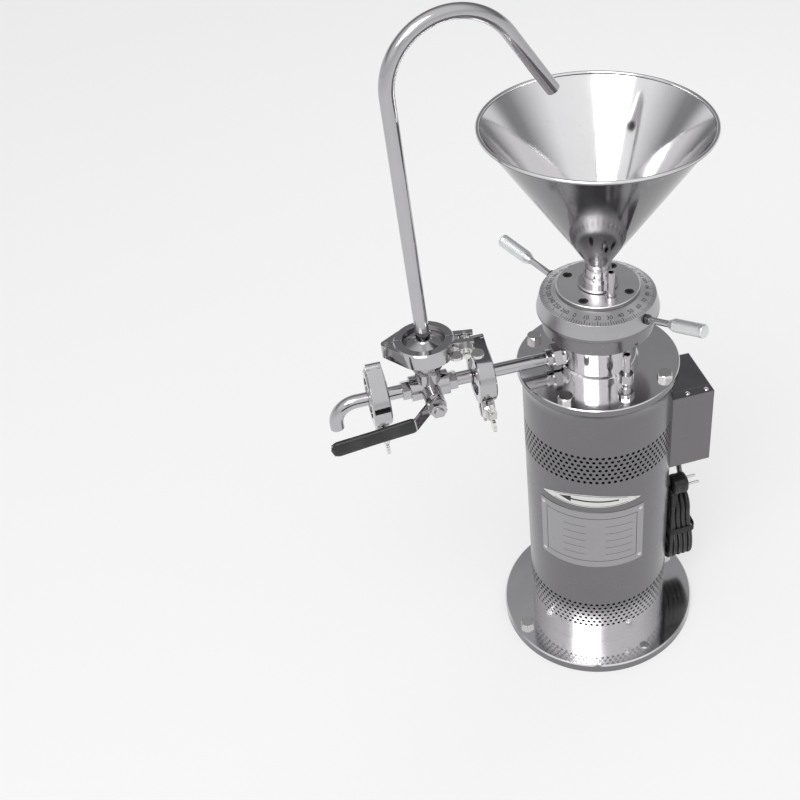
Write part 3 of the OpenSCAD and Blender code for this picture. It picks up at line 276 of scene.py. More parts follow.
@dataclass(frozen=True)
class SteelFinish:
    """Stainless steel with smudges, faint lines and rounded looking edges."""

    name: str
    colour: Colour
    roughness: float
    smudge: float = 0.05
    grain: Grain = Grain.NONE
    grain_depth: float = 0.02
    ripple: float = 0.02
    edge: float = 0.5 * MM
    # Painted shade: a dark colour on faces that turn away from above, over the given range of the normal's
    # height.
    painted_shade_colour: Colour | None = None
    painted_shade_range: tuple[float, float] = (0.3, 0.8)
    # Painted reflection: another colour below a height, fading into the tone over the given range.
    painted_reflection_colour: Colour | None = None
    painted_reflection_range: tuple[float, float] = (50.0 * MM, 85.0 * MM)
    smudge_tones: tuple[float, float] = (0.9, 1.08)
    smudge_range: tuple[float, float] = (0.35, 0.7)
    speck_range: tuple[float, float] = (0.62, 0.8)
    speck_share: float = 0.35
    speck_tone: float = 0.72
    line_gloss: float = 0.03
    line_height: float = 0.2 * MM
    ripple_height: float = 4.0 * MM

    def material(self) -> bpy.types.Material:
        """Builds the material.

        Tone and roughness follow smudges, and the normal follows lines and ripples. A painted shade colour
        takes over where faces turn away from above, and a painted reflection colour below a height.

        Returns:
            The material.
        """
        made, tree = blank_material(self.name)
        place = tree.position()
        smudges = tree.noise(place, SMUDGES)
        specks = tree.noise(place, SPECKS)
        lines = tree.noise(tree.position(self.grain.value), LINES)
        waves = tree.noise(place, WAVES)
        tone = tree.mix(smudges, *(rgba(self.colour, factor) for factor in self.smudge_tones))
        # Painted shade: faces that turn away from above blend into a dark colour.
        if self.painted_shade_colour:
            facing = tree.value("ShaderNodeNewGeometry", output="Normal")
            upward = tree.value("ShaderNodeSeparateXYZ", {}, {"Vector": facing}, "Z")
            tone = tree.mix(tree.spread(upward, *self.painted_shade_range), rgba(self.painted_shade_colour), tone)
        # Painted reflection: below a height the tone blends into another colour.
        if self.painted_reflection_colour:
            height = tree.value("ShaderNodeSeparateXYZ", {}, {"Vector": place}, "Z")
            tone = tree.mix(tree.spread(height, *self.painted_reflection_range), rgba(self.painted_reflection_colour), tone)
        speckled = tree.spread(specks, *self.speck_range, 0.0, self.speck_share)
        tone = tree.mix(speckled, tone, rgba(self.colour, self.speck_tone))
        gloss = tree.spread(smudges, *self.smudge_range, self.roughness, self.roughness + self.smudge)
        gloss = gloss + lines * self.line_gloss
        rounded = tree.value("ShaderNodeBevel", {"samples": EDGE_SAMPLES}, {"Radius": self.edge})
        rippled = tree.value("ShaderNodeBump", {}, {"Strength": self.ripple, "Distance": self.ripple_height,
                                                    "Height": waves, "Normal": rounded})
        lined = tree.value("ShaderNodeBump", {}, {"Strength": self.grain_depth, "Distance": self.line_height,
                                                  "Height": lines, "Normal": rippled})
        shader = tree.value("ShaderNodeBsdfPrincipled", {},
                            {"Base Color": tone, "Metallic": 1.0, "Roughness": gloss, "Normal": lined})
        tree.node("ShaderNodeOutputMaterial", {}, {"Surface": shader})
        return made


@dataclass(frozen=True)
class PlainFinish:
    """Paint, plastic, rubber or print: a mottled colour with a fine grained surface."""

    name: str
    colour: Colour
    roughness: float
    metallic: float = 0.0
    mottle: float = 0.25
    grain_scale: float = 900.0
    grain_depth: float = 0.08
    grain_height: float = 0.3 * MM
    dust: float = 0.0
    dust_colour: Colour = (0.35, 0.34, 0.33)
    dust_range: tuple[float, float] = (0.5, 0.75)
    gloss_range: tuple[float, float] = (0.3, 0.7)
    gloss_swing: tuple[float, float] = (-0.05, 0.08)
    edge: float = 0.4 * MM

    def material(self) -> bpy.types.Material:
        """Builds the material: mottled tone, settled dust and a fine grained normal.

        Returns:
            The material.
        """
        made, tree = blank_material(self.name)
        place = tree.position()
        patches = tree.noise(place, PATCHES)
        grain = tree.noise(place, Pattern(self.grain_scale, 2.0, 0.5))
        tone = tree.mix(patches, rgba(self.colour, 1.0 - self.mottle), rgba(self.colour, 1.0 + self.mottle))
        if self.dust:
            settled = tree.spread(patches, *self.dust_range, 0.0, self.dust)
            tone = tree.mix(settled, tone, rgba(self.dust_colour))
        dull = (self.roughness + swing for swing in self.gloss_swing)
        gloss = tree.spread(patches, *self.gloss_range, *dull)
        rounded = tree.value("ShaderNodeBevel", {"samples": EDGE_SAMPLES}, {"Radius": self.edge})
        bumped = tree.value("ShaderNodeBump", {},
                            {"Strength": self.grain_depth, "Distance": self.grain_height, "Height": grain,
                             "Normal": rounded})
        shader = tree.value("ShaderNodeBsdfPrincipled", {},
                            {"Base Color": tone, "Metallic": self.metallic, "Roughness": gloss,
                             "Normal": bumped})
        tree.node("ShaderNodeOutputMaterial", {}, {"Surface": shader})
        return made


class Finish(Enum):
    """The finishes of the mill's pieces."""

    MIRROR = SteelFinish("mirror_steel", (0.5, 0.49, 0.5), 0.06)
    CASING = SteelFinish("polished_casing", (0.72, 0.71, 0.72), 0.05)
    # Painted shade: the dial's sides and underside, which turn away from above, take a dark colour.
    DIAL = SteelFinish("polished_dial", (0.86, 0.85, 0.86), 0.3, 0.05, painted_shade_colour=(0.25, 0.243, 0.25),
                       painted_shade_range=(0.1, 0.45))
    # Painted reflection: the shell is pale at the bottom, fading into its own colour between 50 and 85 mm.
    SHELL = SteelFinish("satin_shell", (0.205, 0.198, 0.205), 0.2, 0.08, Grain.AROUND, 0.05, 0.015,
                        painted_reflection_colour=(0.6, 0.59, 0.6))
    # Painted shade: the plates' edges and undersides, which turn away from above, take a dark colour.
    PLATE = SteelFinish("turned_plate", (0.78, 0.77, 0.78), 0.08, painted_shade_colour=(0.225, 0.218, 0.225))
    # Painted shade on the cone's outside, which turns downward, and a painted reflection colour on the stem
    # and lowest cone, fading out between 552 and 610 mm.
    HOPPER = SteelFinish("spun_hopper_steel", (0.78, 0.77, 0.78), 0.06, 0.05, Grain.AROUND, 0.03, 0.03,
                         painted_shade_colour=(0.19, 0.184, 0.19), painted_shade_range=(-0.2, 0.2),
                         painted_reflection_colour=(0.56, 0.55, 0.56), painted_reflection_range=(552.0 * MM, 610.0 * MM))
    BOX = SteelFinish("folded_box_steel", (0.205, 0.198, 0.205), 0.3, 0.08, Grain.UPRIGHT, 0.05, 0.02,
                      1.0 * MM)
    BRIGHT = SteelFinish("bright_fastener", (0.72, 0.71, 0.7), 0.14, 0.08)
    GRIP = SteelFinish("knurled_alloy", (0.8, 0.82, 0.82), 0.34, 0.08)
    FOIL = SteelFinish("plate_foil", (0.39, 0.38, 0.39), 0.34, 0.06, Grain.UPRIGHT, 0.06, 0.01, 0.2 * MM)
    PALE_FOIL = SteelFinish("pale_foil", (0.78, 0.77, 0.76), 0.4, 0.06, Grain.UPRIGHT, 0.06, 0.01, 0.2 * MM)
    DARK_STEEL = SteelFinish("blackened_steel", (0.12, 0.12, 0.12), 0.28, 0.1)
    CORE = SteelFinish("laminated_steel", (0.2, 0.2, 0.21), 0.45, 0.1, Grain.AROUND, 0.1)
    INK = PlainFinish("etched_ink", (0.02, 0.02, 0.022), 0.5)
    PAINT = PlainFinish("grey_enamel", (0.13, 0.13, 0.135), 0.4)
    COPPER = PlainFinish("enamelled_copper", (0.5, 0.2, 0.07), 0.35, 0.9)
    RUBBER = PlainFinish("black_rubber", (0.018, 0.018, 0.018), 0.55, dust=0.1)
    VINYL = PlainFinish("dipped_vinyl", (0.014, 0.015, 0.0145), 0.36, mottle=0.35, grain_scale=420.0,
                        dust=0.06)
    PLASTIC = PlainFinish("moulded_plastic", (0.012, 0.012, 0.013), 0.4, dust=0.05)
    SHEATH = PlainFinish("cord_sheath", (0.012, 0.012, 0.013), 0.42, dust=0.08)
    SEAL = PlainFinish("white_seal", (0.75, 0.74, 0.7), 0.5, mottle=0.06)

    def material(self) -> bpy.types.Material:
        """The finish's material, built once."""
        found = bpy.data.materials.get(self.value.name)
        return found or self.value.material()


# Surfaces

@dataclass
class Skin:
    """A surface as arrays: points in metres, and faces as four indices each."""

    points: np.ndarray
    faces: np.ndarray

    @staticmethod
    def grid(points: np.ndarray, wrap_rows: bool = False, wrap_columns: bool = False) -> "Skin":
        """Joins a grid of points into quads, each row to the next one.

        Args:
            points: Array of rows, columns and coordinates.
            wrap_rows: Whether the last row joins the first.
            wrap_columns: Whether the last column joins the first.

        Returns:
            The surface, facing along columns cross rows.
        """
        rows, columns = points.shape[:2]
        index = np.arange(rows * columns).reshape(rows, columns)
        if wrap_rows:
            index = np.vstack([index, index[:1]])
        if wrap_columns:
            index = np.hstack([index, index[:, :1]])
        corners = [index[:-1, :-1], index[:-1, 1:], index[1:, 1:], index[1:, :-1]]
        return Skin(points.reshape(-1, 3), np.stack(corners, -1).reshape(-1, 4))

    @staticmethod
    def joined(skins: Iterable["Skin"]) -> "Skin":
        """Puts several surfaces into one.

        Args:
            skins: The surfaces.

        Returns:
            One surface with all their faces.
        """
        parts = list(skins)
        starts = np.cumsum([0] + [len(part.points) for part in parts[:-1]])
        return Skin(np.vstack([part.points for part in parts]),
                    np.vstack([part.faces + start for part, start in zip(parts, starts)]))

    def moved(self, matrix: np.ndarray, offset: Sequence[float]) -> "Skin":
        """The surface turned by a matrix and then shifted."""
        return Skin(self.points @ matrix.T + np.asarray(offset, float), self.faces)

    def shifted(self, offset: Sequence[float]) -> "Skin":
        """The surface moved by an offset."""
        return Skin(self.points + np.asarray(offset, float), self.faces)

    def mesh(self, name: str, crease: float) -> bpy.types.Mesh:
        """Welds equal points, drops collapsed corners and fills a mesh.

        Args:
            name: Name of the mesh.
            crease: Angle in degrees above which an edge stays sharp.

        Returns:
            The mesh.
        """
        keys = np.round(self.points / WELD).astype(np.int64)
        _, first, inverse = np.unique(keys, axis=0, return_index=True, return_inverse=True)
        faces = inverse.reshape(-1)[self.faces]
        kept = faces != np.roll(faces, -1, axis=1)
        whole = kept.sum(1) >= 3
        corners = faces[whole][kept[whole]]
        starts = np.concatenate([[0], np.cumsum(kept[whole].sum(1))[:-1]])
        made = bpy.data.meshes.new(name)
        made.vertices.add(len(first))
        made.vertices.foreach_set("co", self.points[first].astype(np.float32).ravel())
        made.loops.add(len(corners))
        made.loops.foreach_set("vertex_index", corners.astype(np.int32))
        made.polygons.add(len(starts))
        made.polygons.foreach_set("loop_start", starts.astype(np.int32))
        made.update(calc_edges=True)
        made.validate()
        made.polygons.foreach_set("use_smooth", np.ones(len(made.polygons), bool))
        made.set_sharp_from_angle(angle=math.radians(crease))
        return made


def turn_about_z(angle: float) -> np.ndarray:
    """Matrix of a turn about the upright axis, by an angle in radians."""
    c, s = math.cos(angle), math.sin(angle)
    return np.array([[c, -s, 0.0], [s, c, 0.0], [0.0, 0.0, 1.0]])


def turn_about_y(angle: float) -> np.ndarray:
    """Matrix of a turn about the Y axis, by an angle in radians."""
    c, s = math.cos(angle), math.sin(angle)
    return np.array([[c, 0.0, s], [0.0, 1.0, 0.0], [-s, 0.0, c]])


def around(count: int) -> np.ndarray:
    """Evenly spaced angles of one turn, in radians, from zero."""
    return np.arange(count) * TURN / count


def rounded_oblong(count: int, power: float) -> np.ndarray:
    """A loop with rounded corners: cosine and sine of the angle, raised to a power with their signs kept.

    Args:
        count: Points of the loop.
        power: 1 gives a circle, and less gives squarer corners.

    Returns:
        The loop's two coordinates as two rows, from -1 to 1.
    """
    circle = np.stack([np.cos(around(count)), np.sin(around(count))])
    return np.sign(circle) * np.abs(circle) ** power


def revolved(profile: np.ndarray, columns: int) -> Skin:
    """Turns a profile about the upright axis: each point (r, z) becomes a ring of radius r at height z.

    Args:
        profile: Points of radius and height, with the solid on the left of their direction.
        columns: Points around.

    Returns:
        The surface.
    """
    angle = around(columns)
    ring = np.stack([np.cos(angle), np.sin(angle)], -1)
    radius, height = profile[:, 0], profile[:, 1]
    points = np.empty((len(profile), columns, 3))
    points[..., :2] = radius[:, None, None] * ring[None]
    points[..., 2] = height[:, None]
    return Skin.grid(points, wrap_columns=True)


def arc(centre: tuple[float, float], radius: float, start: float, end: float, count: int) -> np.ndarray:
    """Points on an arc: the centre plus the radius times the cosine and sine of evenly spaced angles.

    Args:
        centre: Middle of the arc.
        radius: Radius of the arc.
        start: First angle in degrees.
        end: Last angle in degrees.
        count: Number of points.

    Returns:
        The points.
    """
    angle = np.radians(np.linspace(start, end, count))
    return np.stack([centre[0] + radius * np.cos(angle), centre[1] + radius * np.sin(angle)], -1)


def linked(name: str, data: bpy.types.ID) -> bpy.types.Object:
    """Makes an object and links it to the scene.

    Args:
        name: Name of the object.
        data: Its mesh, curve, lamp or camera.

    Returns:
        The object, at the origin and unturned.
    """
    made = bpy.data.objects.new(name, data)
    bpy.context.scene.collection.objects.link(made)
    return made


def new_piece(name: str, skin: Skin, finish: Finish, body: str, crease: float = 35.0,
              stands_for: Sequence[str] = ()) -> bpy.types.Object:
    """Makes an object of a surface, dresses it and hangs it on a body.

    Args:
        name: Name of the piece.
        skin: Its surface in the shared frame.
        finish: Its finish.
        body: Body that it moves with.
        crease: Angle in degrees above which edges stay sharp.
        stands_for: Nodes that the piece replaces.

    Returns:
        The new object.
    """
    made = linked(name, skin.mesh(name, crease))
    made.data.materials.append(finish.material())
    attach(made, body)
    if stands_for:
        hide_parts(*stands_for)
    LOG.info("%s: %d faces on %s", name, len(made.data.polygons), body)
    return made


def domed_screw(radius: float, height: float, slot_half: float, columns: int = 32) -> Skin:
    """A round screw head with a cross recess, standing on the floor.

    The dome falls with a power of the radius, and its middle sinks where x or y is small.

    Args:
        radius: Radius of the head.
        height: Height of the dome.
        slot_half: Half width of the recess.
        columns: Points around.

    Returns:
        The head's surface.
    """
    steps, dome_power, recess_reach, recess_depth = 9, 2.4, 0.7, 0.45
    share = np.linspace(1.0, 0.0, steps)
    profile = np.stack([radius * share, height * (1 - share ** dome_power)], -1)
    skin = revolved(np.vstack([[0.0, 0.0], profile]), columns)
    x, y = np.abs(skin.points[:, 0]), np.abs(skin.points[:, 1])
    crossed = (np.minimum(x, y) < slot_half) & (np.hypot(x, y) < recess_reach * radius)
    inside = crossed & (skin.points[:, 2] > 0)
    skin.points[:, 2] -= np.where(inside, recess_depth * height, 0.0)
    return skin


def rivet_head(radius: float, height: float, columns: int) -> Skin:
    """A round rivet head, standing on the floor: a dome that falls with the square of the radius.

    Args:
        radius: Radius of the head.
        height: Height of the dome.
        columns: Points around.

    Returns:
        The head's surface.
    """
    share = np.concatenate([[0.0], np.linspace(1.0, 0.0, 6)])
    rise = np.concatenate([[0.0], 1 - share[1:] ** 2])
    return revolved(np.stack([radius * share, height * rise], -1), columns)


# Housing

@dataclass
class Housing:
    """Perforated motor housing with its plate, rotation arrow, rivets and earth screw; angles in degrees."""

    radius: float = 87.7 * MM
    wall: float = 2.0 * MM
    bottom: float = 12.0 * MM
    top: float = 404.0 * MM
    flare_height: float = 19.0 * MM
    flare_width: float = 5.5 * MM
    ring_radius: float = 72.0 * MM
    hole_radius: float = 2.05 * MM
    holes_around: int = 78
    hole_rows: int = 7
    low_row: float = 46.0 * MM
    low_pitch: float = 6.4 * MM
    high_row: float = 299.0 * MM
    high_pitch: float = 6.2 * MM
    plate_middle: float = -116.0
    plate_half_turn: float = 43.8
    plate_low: float = 157.0 * MM
    plate_high: float = 250.0 * MM
    banner_tip: float = 263.6 * MM
    banner_half_turn: float = 40.2
    banner_up: float = 14.3 * MM
    banner_down: float = 3.8 * MM
    foil_lift: float = 0.02 * MM
    plate_thick: float = 0.5 * MM
    banner_thick: float = 0.35 * MM
    banner_print_lift: float = 0.36 * MM
    print_thick: float = 0.06 * MM
    rule_thick: float = 0.05 * MM
    earth_turn: float = -83.0
    earth_height: float = 42.5 * MM
    body: str = "frame"

    def build(self) -> None:
        """Makes and dresses every piece of the housing."""
        self.shell()
        self.rating_plate()
        self.plate_rules()
        self.arrow_banner()
        self.rivets()
        self.earth_screw()

    def band(self, first_row: float, pitch: float) -> Skin:
        """A band of staggered holes.

        Each hole's cell has four rings of twelve points: its border and the hole's rim outside, then the
        rim and the border inside. The border's points lie at corners, quarters and middles, so that they
        meet those of the staggered rows.

        Args:
            first_row: Height of the lowest row.
            pitch: Height from row to row.

        Returns:
            The band's surface.
        """
        u = np.array([1, 1, 0.5, 0, -0.5, -1, -1, -1, -0.5, 0, 0.5, 1.0])
        v = np.array([0, 1, 1, 1, 1, 1, 0, -1, -1, -1, -1, -1.0])
        half_turn = math.pi / self.holes_around
        half_width = half_turn * self.radius
        direction = np.arctan2(v * pitch / 2, u * half_width)
        rim_u = self.hole_radius * np.cos(direction) / self.radius
        rim_v = self.hole_radius * np.sin(direction)
        turns = np.stack([u * half_turn, rim_u, rim_u, u * half_turn])
        heights = np.stack([v * pitch / 2, rim_v, rim_v, v * pitch / 2])
        inner = self.radius - self.wall
        radii = np.array([self.radius, self.radius, inner, inner])[:, None]
        row, place = np.meshgrid(np.arange(self.hole_rows), np.arange(self.holes_around), indexing="ij")
        angle = (place + (row % 2) / 2) * 2 * half_turn
        angle = angle[..., None, None] + turns
        height = first_row + row[..., None, None] * pitch + heights
        radius = np.broadcast_to(radii, angle.shape)
        points = np.stack([radius * np.cos(angle), radius * np.sin(angle), height], -1)
        cells = points.reshape(-1, *turns.shape, 3)
        cell = Skin.grid(cells[0], wrap_columns=True)
        starts = np.arange(len(cells)) * turns.size
        return Skin(cells.reshape(-1, 3), (cell.faces[None] + starts[:, None, None]).reshape(-1, 4))

    def shell(self) -> None:
        """The housing tube: two perforated bands, with turned profiles as plain strips and flared ring."""
        columns = 4 * self.holes_around
        strip_steps, flare_steps = 12, 14
        inner = self.radius - self.wall
        bands = [(self.low_row, self.low_pitch), (self.high_row, self.high_pitch)]
        edges = [(row - pitch / 2, row + (self.hole_rows - 0.5) * pitch) for row, pitch in bands]
        flare_low = self.top - self.flare_height
        flare_arc = (self.flare_width ** 2 + self.flare_height ** 2) / (2 * self.flare_width)
        end_angle = math.degrees(math.asin(self.flare_height / flare_arc))
        flare = arc((self.radius + flare_arc, flare_low), flare_arc, 180.0, 180.0 - end_angle, flare_steps)
        outer_levels = [(self.bottom, edges[0][0]), (edges[0][1], edges[1][0])]
        skins = [self.band(*band) for band in bands]
        for low, high in outer_levels:
            level = np.linspace(low, high, strip_steps)
            skins.append(revolved(np.stack([np.full(strip_steps, self.radius), level], -1), columns))
            skins.append(revolved(np.stack([np.full(strip_steps, inner), level[::-1]], -1), columns))
        top_ring = [[self.ring_radius, self.top], [self.ring_radius, flare_low], [inner, flare_low],
                    [inner, edges[1][1]]]
        upper = np.vstack([[[self.radius, edges[1][1]]], flare, top_ring])
        skins.append(revolved(upper, columns))
        skins.append(revolved(np.array([[inner, self.bottom], [self.radius, self.bottom]]), columns))
        new_piece("perforated_shell", Skin.joined(skins), Finish.SHELL, self.body, 40.0,
                  ["motor_shell"])

    def wrapped(self, along: np.ndarray, height: np.ndarray, lift: np.ndarray) -> np.ndarray:
        """Lays flat points onto the housing.

        Args:
            along: Angle in degrees from the plate's middle.
            height: Height above the floor.
            lift: Distance from the housing's surface.

        Returns:
            Points at the housing's radius plus the lift, turned by the angle.
        """
        angle = np.radians(self.plate_middle + along)
        radius = self.radius + lift
        return np.stack(np.broadcast_arrays(radius * np.cos(angle), radius * np.sin(angle), height), -1)

    def foil(self, along: np.ndarray, low: np.ndarray, high: np.ndarray, lift: float, thick: float,
             rows: int = 7) -> Skin:
        """A thin sheet on the housing between two edges.

        Each column's front runs from the lower to the upper edge and its back runs down again. At both
        ends the front drops onto the back, which closes the sheet.

        Args:
            along: Angles of the columns, in degrees from the plate's middle.
            low: Lower edge at each column.
            high: Upper edge at each column.
            lift: Distance of the back from the housing.
            thick: Thickness of the sheet.
            rows: Points from edge to edge.

        Returns:
            The sheet's surface.
        """
        along = np.concatenate([along[:1], along, along[-1:]])
        low = np.concatenate([low[:1], low, low[-1:]])
        high = np.concatenate([high[:1], high, high[-1:]])
        share = np.linspace(0.0, 1.0, rows)
        front = low[:, None] + (high - low)[:, None] * share
        height = np.hstack([front, front[:, ::-1]])
        front_lift = np.full((len(along), rows), lift + thick)
        front_lift[[0, -1]] = lift
        lifts = np.hstack([front_lift, np.full((len(along), rows), lift)])
        points = self.wrapped(along[:, None], height, lifts)
        return Skin.grid(points.transpose(1, 0, 2), wrap_rows=True)

    def strip(self, turns: tuple[float, float], heights: tuple[float, float], lift: float, thick: float,
              columns: int, rows: int = 7) -> Skin:
        """An oblong sheet on the housing.

        Args:
            turns: First and last angle, in degrees from the plate's middle.
            heights: Lower and upper edge.
            lift: Distance of the back from the housing.
            thick: Thickness of the sheet.
            columns: Points from end to end.
            rows: Points from edge to edge.

        Returns:
            The sheet's surface.
        """
        low, high = (np.full(columns, height) for height in heights)
        return self.foil(np.linspace(*turns, columns), low, high, lift, thick, rows)

    def rating_plate(self) -> None:
        """The bare rating plate, a thin sheet bent round the housing."""
        turns = (-self.plate_half_turn, self.plate_half_turn)
        plate = self.strip(turns, (self.plate_low, self.plate_high), self.foil_lift, self.plate_thick, 48)
        new_piece("rating_plate", plate, Finish.FOIL, self.body)

    def plate_rules(self) -> None:
        """Etched frame and blank ruled lines on the rating plate, each an oblong sheet."""
        lift, thick = self.plate_thick, self.print_thick
        line, rule = 0.7 * MM, 0.45 * MM
        inset_turn, inset, head_gap = 6.0, 10.0 * MM, 14.0 * MM
        left, right = -self.plate_half_turn + inset_turn, self.plate_half_turn - inset_turn
        low, high = self.plate_low + inset, self.plate_high - inset
        skins = [self.strip((left, right), (z, z + line), lift, thick, 40, 2) for z in (low, high - line)]
        line_turn = math.degrees(line / self.radius)
        skins += [self.strip((side, side + line_turn), (low, high), lift, thick, 2, 12)
                  for side in (left, right - line_turn)]
        levels = np.linspace(low, high - head_gap, 6)[1:]
        label_turn, gap_turn = 16.0, 4.0
        halves = [(left + label_turn, -gap_turn), (label_turn - gap_turn, right - gap_turn)]
        skins += [self.strip(half, (z, z + rule), lift, self.rule_thick, 16, 2)
                  for z in levels for half in halves]
        new_piece("plate_rules", Skin.joined(skins), Finish.INK, self.body)

    def arrow_banner(self) -> None:
        """A leaf shaped foil with parabolic edges, and a plain arrow that shows the way the mill turns."""
        share = np.linspace(-1.0, 1.0, 61)
        along = share * self.banner_half_turn
        swell = 1.0 - share ** 2
        tip = 0.6 * MM
        low = self.banner_tip - self.banner_down * swell - tip
        high = self.banner_tip + self.banner_up * swell + tip
        leaf = self.foil(along, low, high, self.foil_lift, self.banner_thick, 5)
        new_piece("arrow_banner", leaf, Finish.PALE_FOIL, self.body)
        lift, thick = self.banner_print_lift, self.print_thick
        middle = self.banner_tip + (self.banner_up - self.banner_down) / 2
        point, neck, tail = -25.0, -15.0, 22.0
        head_half, shaft_half = 4.4 * MM, 1.1 * MM
        head = np.linspace(point, neck, 12)
        opening = (head - point) / (neck - point) * head_half
        arrow = [self.foil(head, middle - opening, middle + opening, lift, thick, 3),
                 self.strip((neck, tail), (middle - shaft_half, middle + shaft_half), lift, thick, 30, 3)]
        line, inset = 0.6 * MM, 1.0 * MM
        inner = slice(8, -8)
        for start in (low + inset, high - inset - line):
            arrow.append(self.foil(along[inner], start[inner], start[inner] + line, lift, thick, 2))
        new_piece("banner_arrow", Skin.joined(arrow), Finish.INK, self.body)

    def on_wall(self, skin: Skin, angle: float, height: float, lift: float) -> Skin:
        """Lays a part that stands on the floor against the housing's wall.

        Args:
            skin: The part, with +Z as its outward direction.
            angle: Angle around the housing, in degrees.
            height: Height above the floor.
            lift: Distance from the housing's surface.

        Returns:
            The placed part.
        """
        matrix = turn_about_z(math.radians(angle)) @ turn_about_y(math.pi / 2)
        outward = np.array([math.cos(math.radians(angle)), math.sin(math.radians(angle)), 0.0])
        return skin.moved(matrix, outward * (self.radius + lift) + np.array([0.0, 0.0, height]))

    def rivets(self) -> None:
        """Four drive rivets in the plate's corners and one at each tip of the banner."""
        turn, inset = self.plate_half_turn - 3.0, 6.5 * MM
        heights = (self.plate_low + inset, self.plate_high - inset)
        tip_turn, tip_height = self.banner_half_turn - 4.0, self.banner_tip + 0.4 * MM
        large, small = rivet_head(2.6 * MM, 1.3 * MM, 20), rivet_head(1.5 * MM, 0.8 * MM, 16)
        heads = [self.on_wall(large, self.plate_middle + side * turn, z, self.plate_thick)
                 for side in (-1, 1) for z in heights]
        heads += [self.on_wall(small, self.plate_middle + side * tip_turn, tip_height, self.banner_print_lift)
                  for side in (-1, 1)]
        new_piece("plate_rivets", Skin.joined(heads), Finish.BRIGHT, self.body)

    def earth_screw(self) -> None:
        """The round headed earth screw in the lower band of holes, on its turned washer."""
        radius = 4.4 * MM * np.array([0.0, 1.0, 1.0, 0.93, 0.0])
        level = np.array([-0.6, -0.6, 0.6, 0.8, 0.8]) * MM
        washer = revolved(np.stack([radius, level], -1), 32)
        head = domed_screw(3.1 * MM, 2.0 * MM, 0.5 * MM).shifted((0.0, 0.0, level[-1]))
        screw = self.on_wall(Skin.joined([washer, head]), self.earth_turn, self.earth_height, 0.0)
        new_piece("earth_screw", screw, Finish.BRIGHT, self.body)


# Mill head

